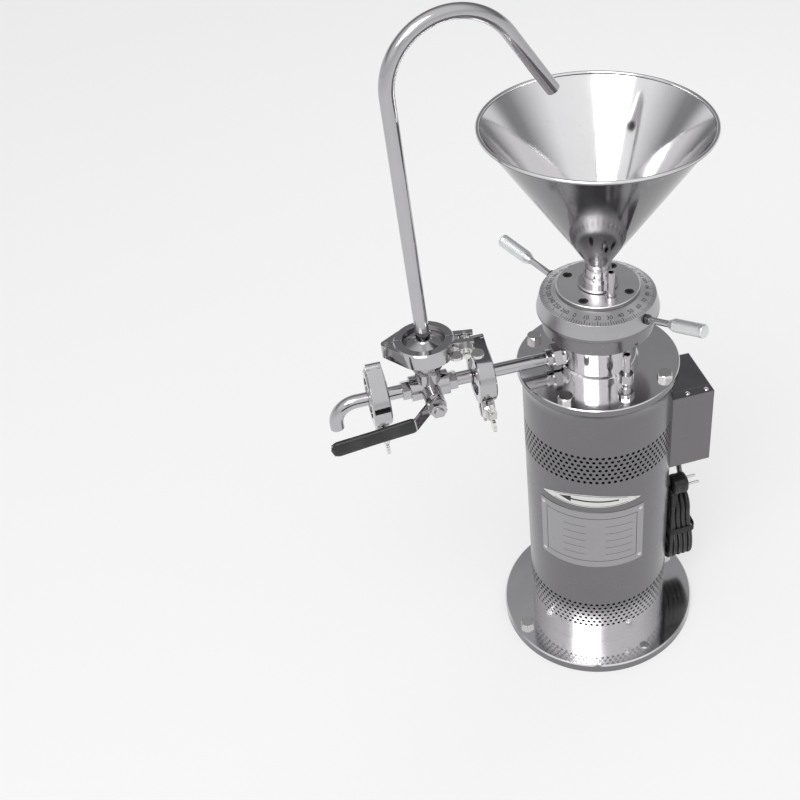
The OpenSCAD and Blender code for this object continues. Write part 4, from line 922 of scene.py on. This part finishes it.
@dataclass
class MillHead:
    """Scale of the adjusting dial, knurled handle grips and the handles' jam nuts; angles in degrees."""

    edge_radius: float = 64.0 * MM
    edge_height: float = 504.0 * MM
    inner_radius: float = 46.5 * MM
    inner_height: float = 510.0 * MM
    units: int = 27
    ticks_per_unit: int = 5
    first_turn: float = -137.0
    long_mark: float = 7.0 * MM
    short_mark: float = 4.6 * MM
    long_half_width: float = 0.32 * MM
    short_half_width: float = 0.24 * MM
    mark_start: float = 0.5 * MM
    numeral_height: float = 5.2 * MM
    font_size_per_height: float = 1.35
    numeral_start: float = 8.2 * MM
    numeral_middle: float = 10.0 * MM
    ink_depth: float = 0.06 * MM
    handle_turn: float = -58.5
    handle_slope: float = 14.0
    handle_radius: float = 64.0 * MM
    handle_height: float = 496.0 * MM
    grip_start: float = 33.33 * MM
    grip_length: float = 45.0 * MM
    grip_radius: float = 7.5 * MM
    rod_radius: float = 3.75 * MM
    body: str = "dial"

    def build(self) -> None:
        """Makes and dresses every piece of the mill head."""
        self.scale_marks()
        self.numerals()
        self.grips()
        self.jam_nuts()

    def on_scale(self, turn: np.ndarray, inward: np.ndarray, lift: np.ndarray) -> np.ndarray:
        """Lays points onto the dial's scale, a cone: along its slope, then off it along its normal.

        Args:
            turn: Angle around the dial in radians.
            inward: Distance from the scale's outer edge along the cone.
            lift: Distance above the cone.

        Returns:
            The points.
        """
        across = np.array([self.inner_radius - self.edge_radius, self.inner_height - self.edge_height])
        across = across / np.hypot(*across)
        radius = self.edge_radius + across[0] * inward + across[1] * lift
        height = self.edge_height + across[1] * inward - across[0] * lift
        return np.stack([radius * np.cos(turn), radius * np.sin(turn), height], -1)

    def scale_marks(self) -> None:
        """Engraved lines of the scale, each a thin box: long ones at the numerals, short ones between."""
        count = self.units * self.ticks_per_unit
        number = np.arange(count)
        turn = np.radians(self.first_turn) + number * TURN / count
        at_numeral = number % self.ticks_per_unit == 0
        length = np.where(at_numeral, self.long_mark, self.short_mark)
        half_turn = np.where(at_numeral, self.long_half_width, self.short_half_width) / self.edge_radius
        turns = np.stack([turn - half_turn, turn + half_turn], -1)
        inward = np.stack([np.full(count, self.mark_start), length], -1)
        lift = np.array([-self.ink_depth, self.ink_depth])
        grids = np.broadcast_arrays(turns[:, None, None], inward[:, None, :, None], lift[:, None, None])
        points = self.on_scale(*grids).reshape(-1, 3)
        box = np.array([[4, 5, 7, 6], [0, 2, 3, 1], [0, 1, 5, 4], [3, 2, 6, 7], [1, 3, 7, 5], [2, 0, 4, 6]])
        starts = np.arange(count) * (box.max() + 1)
        faces = (starts[:, None, None] + box).reshape(-1, 4)
        new_piece("scale_marks", Skin(points, faces), Finish.INK, self.body)

    def numerals(self) -> None:
        """Plain numbers on the scale, drawn as thin slabs and then laid onto the cone."""
        radius = self.edge_radius - self.numeral_middle
        skins = []
        for unit in range(self.units):
            flat, faces = self.thin_text(str(10 * unit))
            turn = math.radians(self.first_turn) + unit * TURN / self.units
            points = self.on_scale(turn + flat[:, 0] / radius, self.numeral_start + flat[:, 1], flat[:, 2])
            skins.append(Skin(points, faces))
        new_piece("scale_numerals", Skin.joined(skins), Finish.INK, self.body)

    def thin_text(self, text: str) -> tuple[np.ndarray, np.ndarray]:
        """A number as a thin closed slab, centred on the first axis.

        Args:
            text: The number.

        Returns:
            Points, and faces whose last corner is repeated.
        """
        curve = bpy.data.curves.new("numeral", "FONT")
        curve.body = text
        curve.size = self.numeral_height * self.font_size_per_height
        curve.align_x = "CENTER"
        curve.extrude = self.ink_depth
        curve.resolution_u = 3
        holder = linked("numeral", curve)
        bpy.context.view_layer.update()
        drawn = holder.evaluated_get(bpy.context.evaluated_depsgraph_get()).to_mesh()
        drawn.calc_loop_triangles()
        points = np.empty(len(drawn.vertices) * 3)
        drawn.vertices.foreach_get("co", points)
        triangles = np.empty(len(drawn.loop_triangles) * 3, np.int32)
        drawn.loop_triangles.foreach_get("vertices", triangles)
        triangles = triangles.reshape(-1, 3)
        bpy.data.objects.remove(holder)
        bpy.data.curves.remove(curve)
        return points.reshape(-1, 3), np.hstack([triangles, triangles[:, 2:]])

    def on_handles(self, skin: Skin) -> Skin:
        """Places a part that stands on the floor along both handles.

        Args:
            skin: The part, with +Z outwards along a handle.

        Returns:
            The two placed parts as one surface.
        """
        tilt = turn_about_y(math.radians(90.0 - self.handle_slope))
        both = []
        for half_turn in (0.0, 180.0):
            spin = turn_about_z(math.radians(self.handle_turn + half_turn))
            root = spin @ np.array([self.handle_radius, 0.0, self.handle_height])
            both.append(skin.moved(spin @ tilt, root))
        return Skin.joined(both)

    def grips(self) -> None:
        """Knurled grips: a turned profile whose barrel rises where two sets of spiral ridges cross."""
        columns, rows = 132, 120
        cone, chamfer, lip = 7.0 * MM, 1.6 * MM, 0.9 * MM
        spirals, pitch, depth = 22, 2.6 * MM, 0.4 * MM
        run_in, run_out, plain_end = 1.5 * MM, 1.0 * MM, 3.0 * MM
        z = np.linspace(0.0, self.grip_length, rows)
        root = self.rod_radius + lip
        tapered = np.minimum(root + (self.grip_radius - root) * z / cone, self.grip_radius)
        past_chamfer = np.maximum(z - self.grip_length + chamfer, 0.0)
        rounded = self.grip_radius - chamfer + np.sqrt(np.maximum(chamfer ** 2 - past_chamfer ** 2, 0.0))
        radius = np.minimum(tapered, rounded)
        angle = around(columns)
        phase = spirals * angle[None]
        climb = TURN * z[:, None] / pitch
        ridges = np.abs(np.sin((phase + climb) / 2)) * np.abs(np.sin((phase - climb) / 2))
        barrel = np.clip((z - cone) / run_in, 0, 1)
        barrel = barrel * np.clip((self.grip_length - plain_end - z) / run_out, 0, 1)
        full = radius[:, None] - depth * barrel[:, None] * (1.0 - ridges)
        heights = np.repeat(z[:, None], columns, 1)
        points = np.stack([full * np.cos(angle), full * np.sin(angle), heights], -1)
        start = np.zeros((1, columns, 3))
        tip = start + np.array([0.0, 0.0, self.grip_length])
        grip = Skin.grid(np.concatenate([start, points, tip]), wrap_columns=True)
        both = self.on_handles(grip.shifted((0.0, 0.0, self.grip_start)))
        new_piece("knurled_grips", both, Finish.GRIP, self.body, 60.0, ["handle_grips"])

    def jam_nuts(self) -> None:
        """Dark jam nuts that lock the handles' rods against the dial: turned rings with chamfered edges."""
        start, thick, outer, chamfer = 2.4 * MM, 3.2 * MM, 5.6 * MM, 0.4 * MM
        end = start + thick
        profile = np.array([[self.rod_radius, start], [outer - chamfer, start], [outer, start + chamfer],
                            [outer, end - chamfer], [outer - chamfer, end], [self.rod_radius, end],
                            [self.rod_radius, start]])
        both = self.on_handles(revolved(profile, 36))
        new_piece("handle_jam_nuts", both, Finish.DARK_STEEL, self.body)


# Hopper

@dataclass
class Hopper:
    """Spun cone with a stem below and a rolled rim."""

    stem_radius: float = 13.0 * MM
    stem_low: float = 538.2 * MM
    cone_low: float = 544.2 * MM
    mouth_radius: float = 118.25 * MM
    mouth_height: float = 705.2 * MM
    wall: float = 1.2 * MM
    bead_radius: float = 2.2 * MM
    bead_arc: tuple[float, float] = (-120.0, 205.0)
    bend_drop: float = 5.0 * MM / 3
    bend_swell: float = 0.25 * MM
    body: str = "feed_head"

    def build(self) -> None:
        """The hopper as one turned wall: up the outside, round the rim and down the inside."""
        slope = math.atan2(self.mouth_radius - self.stem_radius, self.mouth_height - self.cone_low)
        shift = self.wall / math.cos(slope)
        bore = self.stem_radius - self.wall
        rise = np.linspace(0.0, 1.0, 24)
        outer_r = self.stem_radius + (self.mouth_radius - self.stem_radius) * rise
        outer_z = self.cone_low + (self.mouth_height - self.cone_low) * rise
        outside = np.stack([outer_r, outer_z], -1)[1:-1]
        throat = np.array([[self.stem_radius, self.stem_low],
                           [self.stem_radius, self.cone_low - self.bend_drop],
                           [self.stem_radius + self.bend_swell, self.cone_low]])
        rim = arc((self.mouth_radius, self.mouth_height), self.bead_radius, *self.bead_arc, 22)
        inner_low = self.cone_low + (shift - self.wall) / math.tan(slope)
        inside_r = bore + (self.mouth_radius - shift - bore) * rise[::-1]
        inside_z = inner_low + (self.mouth_height - inner_low) * rise[::-1]
        inside = np.stack([inside_r, inside_z], -1)[1:]
        profile = np.vstack([throat, outside, rim, inside, [[bore, self.stem_low]],
                             [[self.stem_radius, self.stem_low]]])
        new_piece("spun_hopper", revolved(profile, 192), Finish.HOPPER, self.body, 50.0,
                  ["hopper"])


# Water nipple

@dataclass
class WaterNipple:
    """The nipple on the top plate: a hexagon foot, a threaded stem, a union nut and a tube with a bead."""

    turn: float = -85.0
    radius: float = 72.5 * MM
    foot: float = 404.0 * MM
    sections: tuple[tuple[float, float, float], ...] = (
        (0.0, 0.0, 0.0), (0.0, 9.3, 16.0), (12.0, 9.3, 16.0), (13.0, 8.2, 16.0), (13.0, 4.9, 0.0),
        (13.8, 5.1, 0.0), (14.6, 4.6, 0.0), (15.4, 5.1, 0.0), (16.2, 4.6, 0.0), (17.0, 5.1, 0.0),
        (17.8, 4.6, 0.0), (18.6, 5.1, 0.0), (19.4, 4.7, 0.0), (22.0, 4.9, 0.0), (28.0, 7.9, 0.0),
        (28.6, 8.5, 14.6), (38.0, 8.5, 14.6), (39.0, 7.4, 14.6), (39.0, 4.2, 0.0), (60.0, 4.2, 0.0),
        (61.0, 4.6, 0.0), (63.0, 4.6, 0.0), (64.6, 3.9, 0.0), (64.6, 3.0, 0.0), (42.0, 3.0, 0.0),
        (42.0, 0.0, 0.0))
    body: str = "frame"

    def build(self) -> None:
        """The nipple as rings of a height and a radius, each cut to its hexagon where it has one.

        A section gives the height, the radius and the width across flats, in millimetres, or no width.
        """
        columns = 48
        angle = around(columns)
        height, outer, flats = (np.array(self.sections) * MM).T
        apothem = np.where(flats > 0, flats / 2, np.inf)
        sixth = TURN / 6
        hexagon = apothem[:, None] / np.cos((angle + sixth / 2) % sixth - sixth / 2)
        radius = np.minimum(outer[:, None], hexagon)
        heights = np.repeat(height[:, None], columns, 1)
        points = np.stack([radius * np.cos(angle), radius * np.sin(angle), heights], -1)
        turn = math.radians(self.turn)
        place = (self.radius * math.cos(turn), self.radius * math.sin(turn), self.foot)
        nipple = Skin.grid(points, wrap_columns=True).moved(turn_about_z(turn + sixth / 2), place)
        new_piece("water_nipple", nipple, Finish.MIRROR, self.body, 30.0,
                  ["casing_water_nipple"])


# Valve lever

@dataclass
class ValveLever:
    """Dipped sleeve on the cranked valve lever."""

    pivot: tuple[float, float, float] = (-195.0 * MM, -55.5 * MM, 427.0 * MM)
    droop: float = 6.0
    start: float = 28.0 * MM
    tip: float = 117.0 * MM
    half_height: float = 9.0 * MM
    half_thick: float = 3.6 * MM
    lip_length: float = 3.0 * MM
    lip_in: float = 0.1
    lip_thin: float = 0.15
    waist_in: float = 0.06
    tip_fullness: float = 1.25
    corner_power: float = 2.0 / 3.2
    body: str = "lever"

    def build(self) -> None:
        """The sleeve: rounded oblong sections along the lever, drawn in at the lip, with a round tip."""
        columns = 40
        share = np.linspace(0.0, 1.0, 56)
        along = self.start + (self.tip - self.start) * share
        to_tip = self.tip - along
        round_end = np.sqrt(np.clip(1 - (1 - np.clip(to_tip / self.half_height, 0, 1)) ** 2, 0, 1))
        lip = np.clip((along - self.start) / self.lip_length, 0, 1)
        waist = 1 - self.waist_in + self.waist_in * np.cos(share * math.pi) ** 2
        high = self.half_height * round_end * (1 - self.lip_in + self.lip_in * lip) * waist
        thick = self.half_thick * np.clip(round_end * self.tip_fullness, 0, 1)
        thick = thick * (1 - self.lip_thin + self.lip_thin * lip)
        across, upright = rounded_oblong(columns, self.corner_power)
        outward = np.repeat(-along[:, None], columns, 1)
        points = np.stack([outward, thick[:, None] * across, high[:, None] * upright], -1)
        points = np.concatenate([points[:1] * np.array([1.0, 0.0, 0.0]), points])
        sleeve = Skin.grid(points[:, ::-1], wrap_columns=True)
        sleeve = sleeve.moved(turn_about_y(math.radians(-self.droop)), self.pivot)
        new_piece("lever_sleeve", sleeve, Finish.VINYL, self.body, 60.0, ["lever_grip"])


# Junction box

@dataclass
class JunctionBox:
    """Screws of the junction box's cover."""

    screw_places: tuple[tuple[float, float], ...] = ((100.0 * MM, -32.0 * MM), (124.0 * MM, -32.0 * MM))
    screw_radius: float = 3.2 * MM
    screw_height: float = 1.8 * MM
    recess_half: float = 0.45 * MM
    body: str = "frame"

    def build(self) -> None:
        """Round headed screws in the cover's top and underside flanges."""
        low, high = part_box("junction_box_cover")
        head = domed_screw(self.screw_radius, self.screw_height, self.recess_half)
        upside_down = np.diag([1.0, -1.0, -1.0])
        heads = []
        for x, y in self.screw_places:
            heads.append(head.shifted((x, y, high.z)))
            heads.append(head.moved(upside_down, (x, y, low.z)))
        new_piece("cover_screws", Skin.joined(heads), Finish.BRIGHT, self.body)


# Supply cord

@dataclass
class SupplyCord:
    """The supply cord: a tail from the gland, a tied hank and the plug, with its places in millimetres."""

    diameter: float = 7.0 * MM
    tail: tuple[tuple[float, float, float], ...] = (
        (108.5, 0.0, 222.0), (108.7, 0.3, 216.0), (110.0, 2.0, 208.0), (112.5, 6.0, 199.0),
        (116.0, 11.5, 188.0), (119.5, 16.5, 176.0), (121.7, 19.8, 165.0), (122.5, 21.0, 154.0))
    layers: tuple[float, ...] = (122.5, 115.5, 108.5, 101.5, 94.5)
    run: float = 21.0
    low_fold: float = 74.5
    high_fold: float = 147.5
    plug_height: float = 158.0
    plug_overlap: float = 2.0
    plug_rise: float = 40.0
    tie_height: float = 112.0
    body: str = "frame"

    def build(self) -> None:
        plug = self.plug()
        pins = self.plug_pins()
        tie = self.tie()
        route = self.route()
        cord = self.cord(route)

    def route(self) -> np.ndarray:
        """The cord's line: the tail's points, then a loop of down run, fold and slanting up run per layer.

        Returns:
            Points in metres, a few millimetres apart.
        """
        line = [self.smooth(np.array(self.tail))]
        for number, x in enumerate(self.layers):
            last = number == len(self.layers) - 1
            top = self.tail[-1][2] if number == 0 else self.high_fold
            down = np.linspace(top, self.low_fold, 20)[1:]
            line.append(self.upright(x, self.run, down))
            line.append(self.fold(x, self.low_fold, 0.0, -180.0))
            end = self.plug_height + self.plug_overlap if last else self.high_fold
            up = np.linspace(self.low_fold, end, 22)[1:]
            share = (up - up[0]) / (up[-1] - up[0])
            shift = 0.0 if last else self.layers[number + 1] - x
            line.append(self.upright(x + shift * share ** 2 * (3 - 2 * share), -self.run, up))
            if not last:
                line.append(self.fold(x + shift, self.high_fold, 180.0, 0.0))
        return np.vstack(line) * MM

    @staticmethod
    def upright(x: Union[float, np.ndarray], y: float, z: np.ndarray) -> np.ndarray:
        """Points of an upright run of the hank, at the given heights."""
        return np.stack(np.broadcast_arrays(x, y, z), -1)

    def fold(self, x: float, height: float, start: float, end: float) -> np.ndarray:
        """A half turn of the hank between its two runs.

        Args:
            x: The fold's layer.
            height: Height of the fold's centre.
            start: First angle in degrees.
            end: Last angle in degrees.

        Returns:
            Points of the fold without its first one.
        """
        turn = arc((0.0, height), self.run, start, end, 17)[1:]
        return np.column_stack([np.full(len(turn), x), turn])

    @staticmethod
    def smooth(points: np.ndarray) -> np.ndarray:
        """A curve through points: on each stretch the cubic whose end slopes follow the neighbours.

        Args:
            points: The points.

        Returns:
            Six points per stretch and the last point.
        """
        before = np.vstack([points[:1], points[:-2]])
        after = np.vstack([points[2:], points[-1:]])
        a, b = points[:-1], points[1:]
        slope_a, slope_b = (b - before) / 2, (after - a) / 2
        t = np.linspace(0.0, 1.0, 6, endpoint=False)[None, :, None]
        curve = ((2 * t ** 3 - 3 * t ** 2 + 1) * a[:, None] + (t ** 3 - 2 * t ** 2 + t) * slope_a[:, None]
                 + (3 * t ** 2 - 2 * t ** 3) * b[:, None] + (t ** 3 - t ** 2) * slope_b[:, None])
        return np.vstack([curve.reshape(-1, 3), points[-1:]])

    def cord(self, route: np.ndarray) -> bpy.types.Object:
        """The cord as one open curve with a round section.

        Args:
            route: Points of its line.

        Returns:
            The curve's object.
        """
        curve = bpy.data.curves.new("supply_cord", "CURVE")
        curve.dimensions = "3D"
        curve.bevel_depth = self.diameter / 2
        curve.bevel_resolution = 4
        curve.use_fill_caps = True
        spline = curve.splines.new("POLY")
        spline.points.add(len(route) - 1)
        spline.points.foreach_set("co", np.hstack([route, np.ones((len(route), 1))]).ravel())
        spline.use_smooth = True
        made = linked("supply_cord", curve)
        curve.materials.append(Finish.SHEATH.material())
        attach(made, self.body)
        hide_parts("cord_tail", "cord_hank")
        LOG.info("supply_cord: %d points on %s", len(route), self.body)
        return made

    def tie(self) -> bpy.types.Object:
        """A flat strap round the hank's middle: an oblong loop of small thickness.

        Returns:
            The strap.
        """
        columns = 72
        gap, thick, half_width, bevel = 0.2, 1.0, 5.0, 0.4
        centre_x = (self.layers[0] + self.layers[-1]) / 2
        half_x = (self.layers[0] - self.layers[-1]) / 2 + self.diameter / MM / 2 + gap
        half_y = self.run + self.diameter / MM / 2 + gap
        loop_x, loop_y = rounded_oblong(columns, 2.0 / 7.0)
        section = np.array([[0.0, -half_width], [thick, bevel - half_width], [thick, half_width - bevel],
                            [0.0, half_width]])
        level = self.tie_height + np.repeat(section[:, 1:], columns, 1)
        points = np.stack([centre_x + (half_x + section[:, :1]) * loop_x,
                           (half_y + section[:, :1]) * loop_y, level], -1) * MM
        return new_piece("cord_tie", Skin.grid(points, wrap_rows=True, wrap_columns=True), Finish.RUBBER,
                         self.body)

    def plug(self) -> bpy.types.Object:
        """The plug: a turned, ribbed strain relief that leads into a body of rounded sections along X.

        Returns:
            The plug's body.
        """
        x, y = self.layers[-1] * MM, -self.run * MM
        clearance, flare, relief_length = 0.4 * MM, 2.4 * MM, 34.0 * MM
        rib_pitch, rib_depth, rib_end, rib_steepness = 4.6 * MM, 0.45 * MM, 28.0 * MM, 3
        z = np.linspace(0.0, relief_length, 90)
        radius = (self.diameter / 2 + clearance) + flare * z / z[-1]
        ribs = np.clip(np.sin(TURN * z / rib_pitch) * rib_steepness, -1, 1) * (z < rib_end)
        profile = np.stack([radius + rib_depth * ribs, z], -1)
        profile = np.vstack([[[0.0, 0.0]], profile, [[0.0, z[-1]]]])
        relief = revolved(profile, 28).shifted((x, y, self.plug_height * MM))
        columns, half_size, length, back = 40, 12.0 * MM, 22.0 * MM, 5.0 * MM
        waist_depth, waist_place, waist_width = 0.1, 0.45, 0.16
        along = np.linspace(0.0, 1.0, 22)
        size = half_size * ((1 - np.abs(2 * along - 1) ** 6) ** 0.25)[:, None]
        waist = 1.0 - waist_depth * np.exp(-((along - waist_place) / waist_width) ** 2)
        across, upright = rounded_oblong(columns, 2.0 / 3.0)
        lengthwise = np.repeat((along * length - back)[:, None], columns, 1)
        points = np.stack([lengthwise, size * waist[:, None] * across, size * upright], -1)
        body = Skin.grid(points, wrap_columns=True).shifted((x, y, (self.plug_height + self.plug_rise) * MM))
        return new_piece("moulded_plug", Skin.joined([relief, body]), Finish.PLASTIC, self.body,
                         50.0, ["power_plug"])

    def plug_pins(self) -> bpy.types.Object:
        """The plug's two round pins with domed ends.

        Returns:
            The pins.
        """
        radius, length = 2.0 * MM, 16.0 * MM
        reach, half_gap = 16.0, 6.0
        profile = np.vstack([[[0.0, 0.0], [radius, 0.0]], arc((0.0, length - radius), radius, 0.0, 90.0, 7)])
        profile[-1, 0] = 0.0
        pin = revolved(profile, 20)
        lay = turn_about_y(math.pi / 2)
        x, z = (self.layers[-1] + reach) * MM, (self.plug_height + self.plug_rise) * MM
        pins = [pin.moved(lay, (x, (-self.run + side * half_gap) * MM, z)) for side in (-1, 1)]
        return new_piece("plug_pins", Skin.joined(pins), Finish.BRIGHT, self.body)


# Finishes of the solids

NODE_FINISHES: dict[Finish, tuple[str, ...]] = {
    Finish.PLATE: ("base_plate", "top_plate"),
    Finish.CASING: ("mill_casing", "hopper_neck", "stator_carrier", "grinding_stator", "grinding_rotor",
                    "rotor_nut", "motor_shaft"),
    Finish.DIAL: ("lock_ring", "adjusting_dial", "feed_flange"),
    Finish.MIRROR: ("outlet_union_nut", "outlet_pipe", "valve_body", "valve_adaptors",
                    "valve_gland_nut", "valve_lever", "stem_nut", "valve_stem", "valve_ball",
                    "circulation_pipe", "spout", "feed_water_nipple", "handle_rods",
                    "inlet_clamp_jaws", "spout_clamp_jaws", "top_clamp_jaws"),
    Finish.BRIGHT: ("hold_down_bolts", "plate_bolts", "clamp_pins", "clamp_bolts", "inlet_wing_nut",
                    "spout_wing_nut", "top_wing_nut", "tie_bolts", "shaft_bearings"),
    Finish.DARK_STEEL: ("feed_flange_screws",),
    Finish.BOX: ("junction_box", "junction_box_cover"),
    Finish.PAINT: ("motor_frame", "lower_end_shield", "fan_cowl"),
    Finish.CORE: ("stator_core", "motor_rotor"),
    Finish.COPPER: ("stator_windings",),
    Finish.PLASTIC: ("cable_gland", "cooling_fan"),
    Finish.RUBBER: ("shaft_seal", "hopper_gasket"),
    Finish.SEAL: ("clamp_gaskets", "valve_seats"),
}


def dress_nodes(nodes: dict[str, bpy.types.Object]) -> None:
    """Gives every solid that stays in view its finish.

    Args:
        nodes: The frame's objects by name.
    """
    for finish, names in NODE_FINISHES.items():
        for name in names:
            held = nodes[name].data.materials
            held.clear()
            held.append(finish.material())
        LOG.info("%s: %d solids", finish.value.name, len(names))


# Studio

@dataclass(frozen=True)
class SoftBox:
    """A square soft box that points at the mill."""

    name: str
    place: tuple[float, float, float]
    power: float
    mirrored: bool
    side: float = 1.3
    target: tuple[float, float, float] = (-0.05, 0.0, 0.45)

    def build(self) -> None:
        """Makes the lamp, turned towards its target. Polished steel shows it only where it is mirrored."""
        lamp = bpy.data.lights.new(self.name, "AREA")
        lamp.size = self.side
        lamp.energy = self.power
        made = linked(self.name, lamp)
        aim = np.array(self.target) - np.array(self.place)
        made.location = self.place
        made.rotation_euler = (math.atan2(math.hypot(aim[0], aim[1]), -aim[2]), 0.0,
                               math.atan2(aim[1], aim[0]) - math.pi / 2)
        made.visible_camera = False
        made.visible_glossy = self.mirrored


@dataclass
class Studio:
    """Pale floor, soft light and the camera at the photograph's view."""

    floor_half: float = 14.0
    floor_colour: Colour = (0.8, 0.8, 0.81)
    floor_roughness: float = 0.9
    floor_white: float = 0.55
    camera_place: tuple[float, float, float] = (-0.34327, -0.94314, 1.20879)
    camera_tilt: float = 52.51
    camera_turn: float = -20.0
    lens: float = 50.63
    sensor: float = 36.0
    shift: tuple[float, float] = (-0.2475, -0.0766)
    far_limit: float = 60.0
    lamps: tuple[SoftBox, ...] = (SoftBox("key_light", (-0.9, -1.1, 2.3), 26.0, True),
                                  SoftBox("rear_light", (1.3, 1.2, 1.9), 8.0, False))
    sky_strength: float = 1.0
    bright_lean: float = 0.6
    bright_rise: float = 0.8
    horizon: Colour = (0.74, 0.74, 0.75)
    horizon_range: tuple[float, float] = (0.14, 0.3)
    strip_colour: Colour = (0.06, 0.06, 0.06)
    strip_share: float = 0.85
    strip_sides: tuple[float, float] = (0.0016, 0.004)
    strip_top: tuple[float, float] = (0.8, 0.93)
    strip_foot: tuple[float, float] = (0.5, 0.6)
    sky_stops: tuple[tuple[float, Colour], ...] = (
        (0.0, (0.24, 0.24, 0.245)), (0.2, (0.27, 0.27, 0.275)), (0.45, (0.6, 0.6, 0.61)),
        (0.7, (0.92, 0.92, 0.93)), (1.0, (1.0, 1.0, 1.0)))

    def build(self) -> None:
        """Makes the floor, the light and the camera."""
        bpy.context.scene.view_settings.view_transform = "Standard"
        self.floor()
        self.sky()
        for lamp in self.lamps:
            lamp.build()
        self.camera()

    def floor(self) -> None:
        """A large plain floor, whiter where the camera or a mirror sees it."""
        half = self.floor_half
        corners = np.array([[[-half, -half, 0.0], [half, -half, 0.0]],
                            [[-half, half, 0.0], [half, half, 0.0]]])
        made = linked("floor", Skin.grid(corners).mesh("floor", 30.0))
        surface, tree = blank_material("pale_floor")
        lit = tree.value("ShaderNodeBsdfPrincipled", {}, {"Base Color": rgba(self.floor_colour),
                                                          "Roughness": self.floor_roughness})
        white = tree.value("ShaderNodeEmission", {}, {"Color": rgba((1.0, 1.0, 1.0)), "Strength": 1.0})
        seen = tree.value("ShaderNodeLightPath", output="Is Camera Ray")
        for way in ("Is Glossy Ray", "Is Transmission Ray"):
            seen = seen + tree.value("ShaderNodeLightPath", output=way)
        shader = tree.value("ShaderNodeMixShader", {}, {0: seen * self.floor_white, 1: lit, 2: white})
        tree.node("ShaderNodeOutputMaterial", {}, {"Surface": shader})
        made.data.materials.append(surface)

    def sky(self) -> None:
        """A soft room light: pale low down, bright in front and overhead, dim behind, with a dark strip."""
        world = bpy.data.worlds.new("studio")
        bpy.context.scene.world = world
        world.use_nodes = True
        tree = NodeTree(world.node_tree)
        turn = math.radians(self.camera_turn)
        front = (math.sin(turn), -math.cos(turn))
        direction = tree.value("ShaderNodeTexCoord", output="Generated")
        bright_side = (self.bright_lean * front[0], self.bright_lean * front[1], self.bright_rise)
        facing = tree.value("ShaderNodeVectorMath", {"operation": "DOT_PRODUCT"},
                            {0: direction, 1: bright_side}, "Value")
        across = tree.value("ShaderNodeVectorMath", {"operation": "DOT_PRODUCT"},
                            {0: direction, 1: (-front[1], front[0], 0.0)}, "Value")
        height = tree.value("ShaderNodeSeparateXYZ", {}, {"Vector": direction}, "Z")
        shade = tree.value("ShaderNodeValToRGB", {"stops": self.sky_stops}, {"Fac": facing})
        strip = 1 - tree.spread(across * across, *self.strip_sides)
        strip = strip * (1 - tree.spread(height, *self.strip_top))
        strip = strip * tree.spread(facing, *self.strip_foot)
        shade = tree.mix(strip * self.strip_share, shade, rgba(self.strip_colour))
        shade = tree.mix(1 - tree.spread(height, *self.horizon_range), shade, rgba(self.horizon))
        light = tree.value("ShaderNodeBackground", {}, {"Color": shade, "Strength": self.sky_strength})
        tree.node("ShaderNodeOutputWorld", {}, {"Surface": light})

    def camera(self) -> None:
        """The camera that the photograph's lines give."""
        lens = bpy.data.cameras.new("camera")
        lens.sensor_width = self.sensor
        lens.lens = self.lens
        lens.shift_x, lens.shift_y = self.shift
        lens.clip_end = self.far_limit
        made = linked("camera", lens)
        made.location = self.camera_place
        made.rotation_euler = (math.radians(self.camera_tilt), 0.0, math.radians(self.camera_turn))
        bpy.context.scene.camera = made


def main() -> None:
    """Builds the studio, the cord, the sub-assemblies and the solids' finishes in order."""
    logging.basicConfig(level=logging.INFO, format="%(name)s %(message)s")
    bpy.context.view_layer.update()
    for part in (Studio(), SupplyCord(), Housing(), MillHead(), Hopper(), WaterNipple(), ValveLever(),
                 JunctionBox()):
        part.build()
    dress_nodes(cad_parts)


if __name__ == "__main__":
    main()
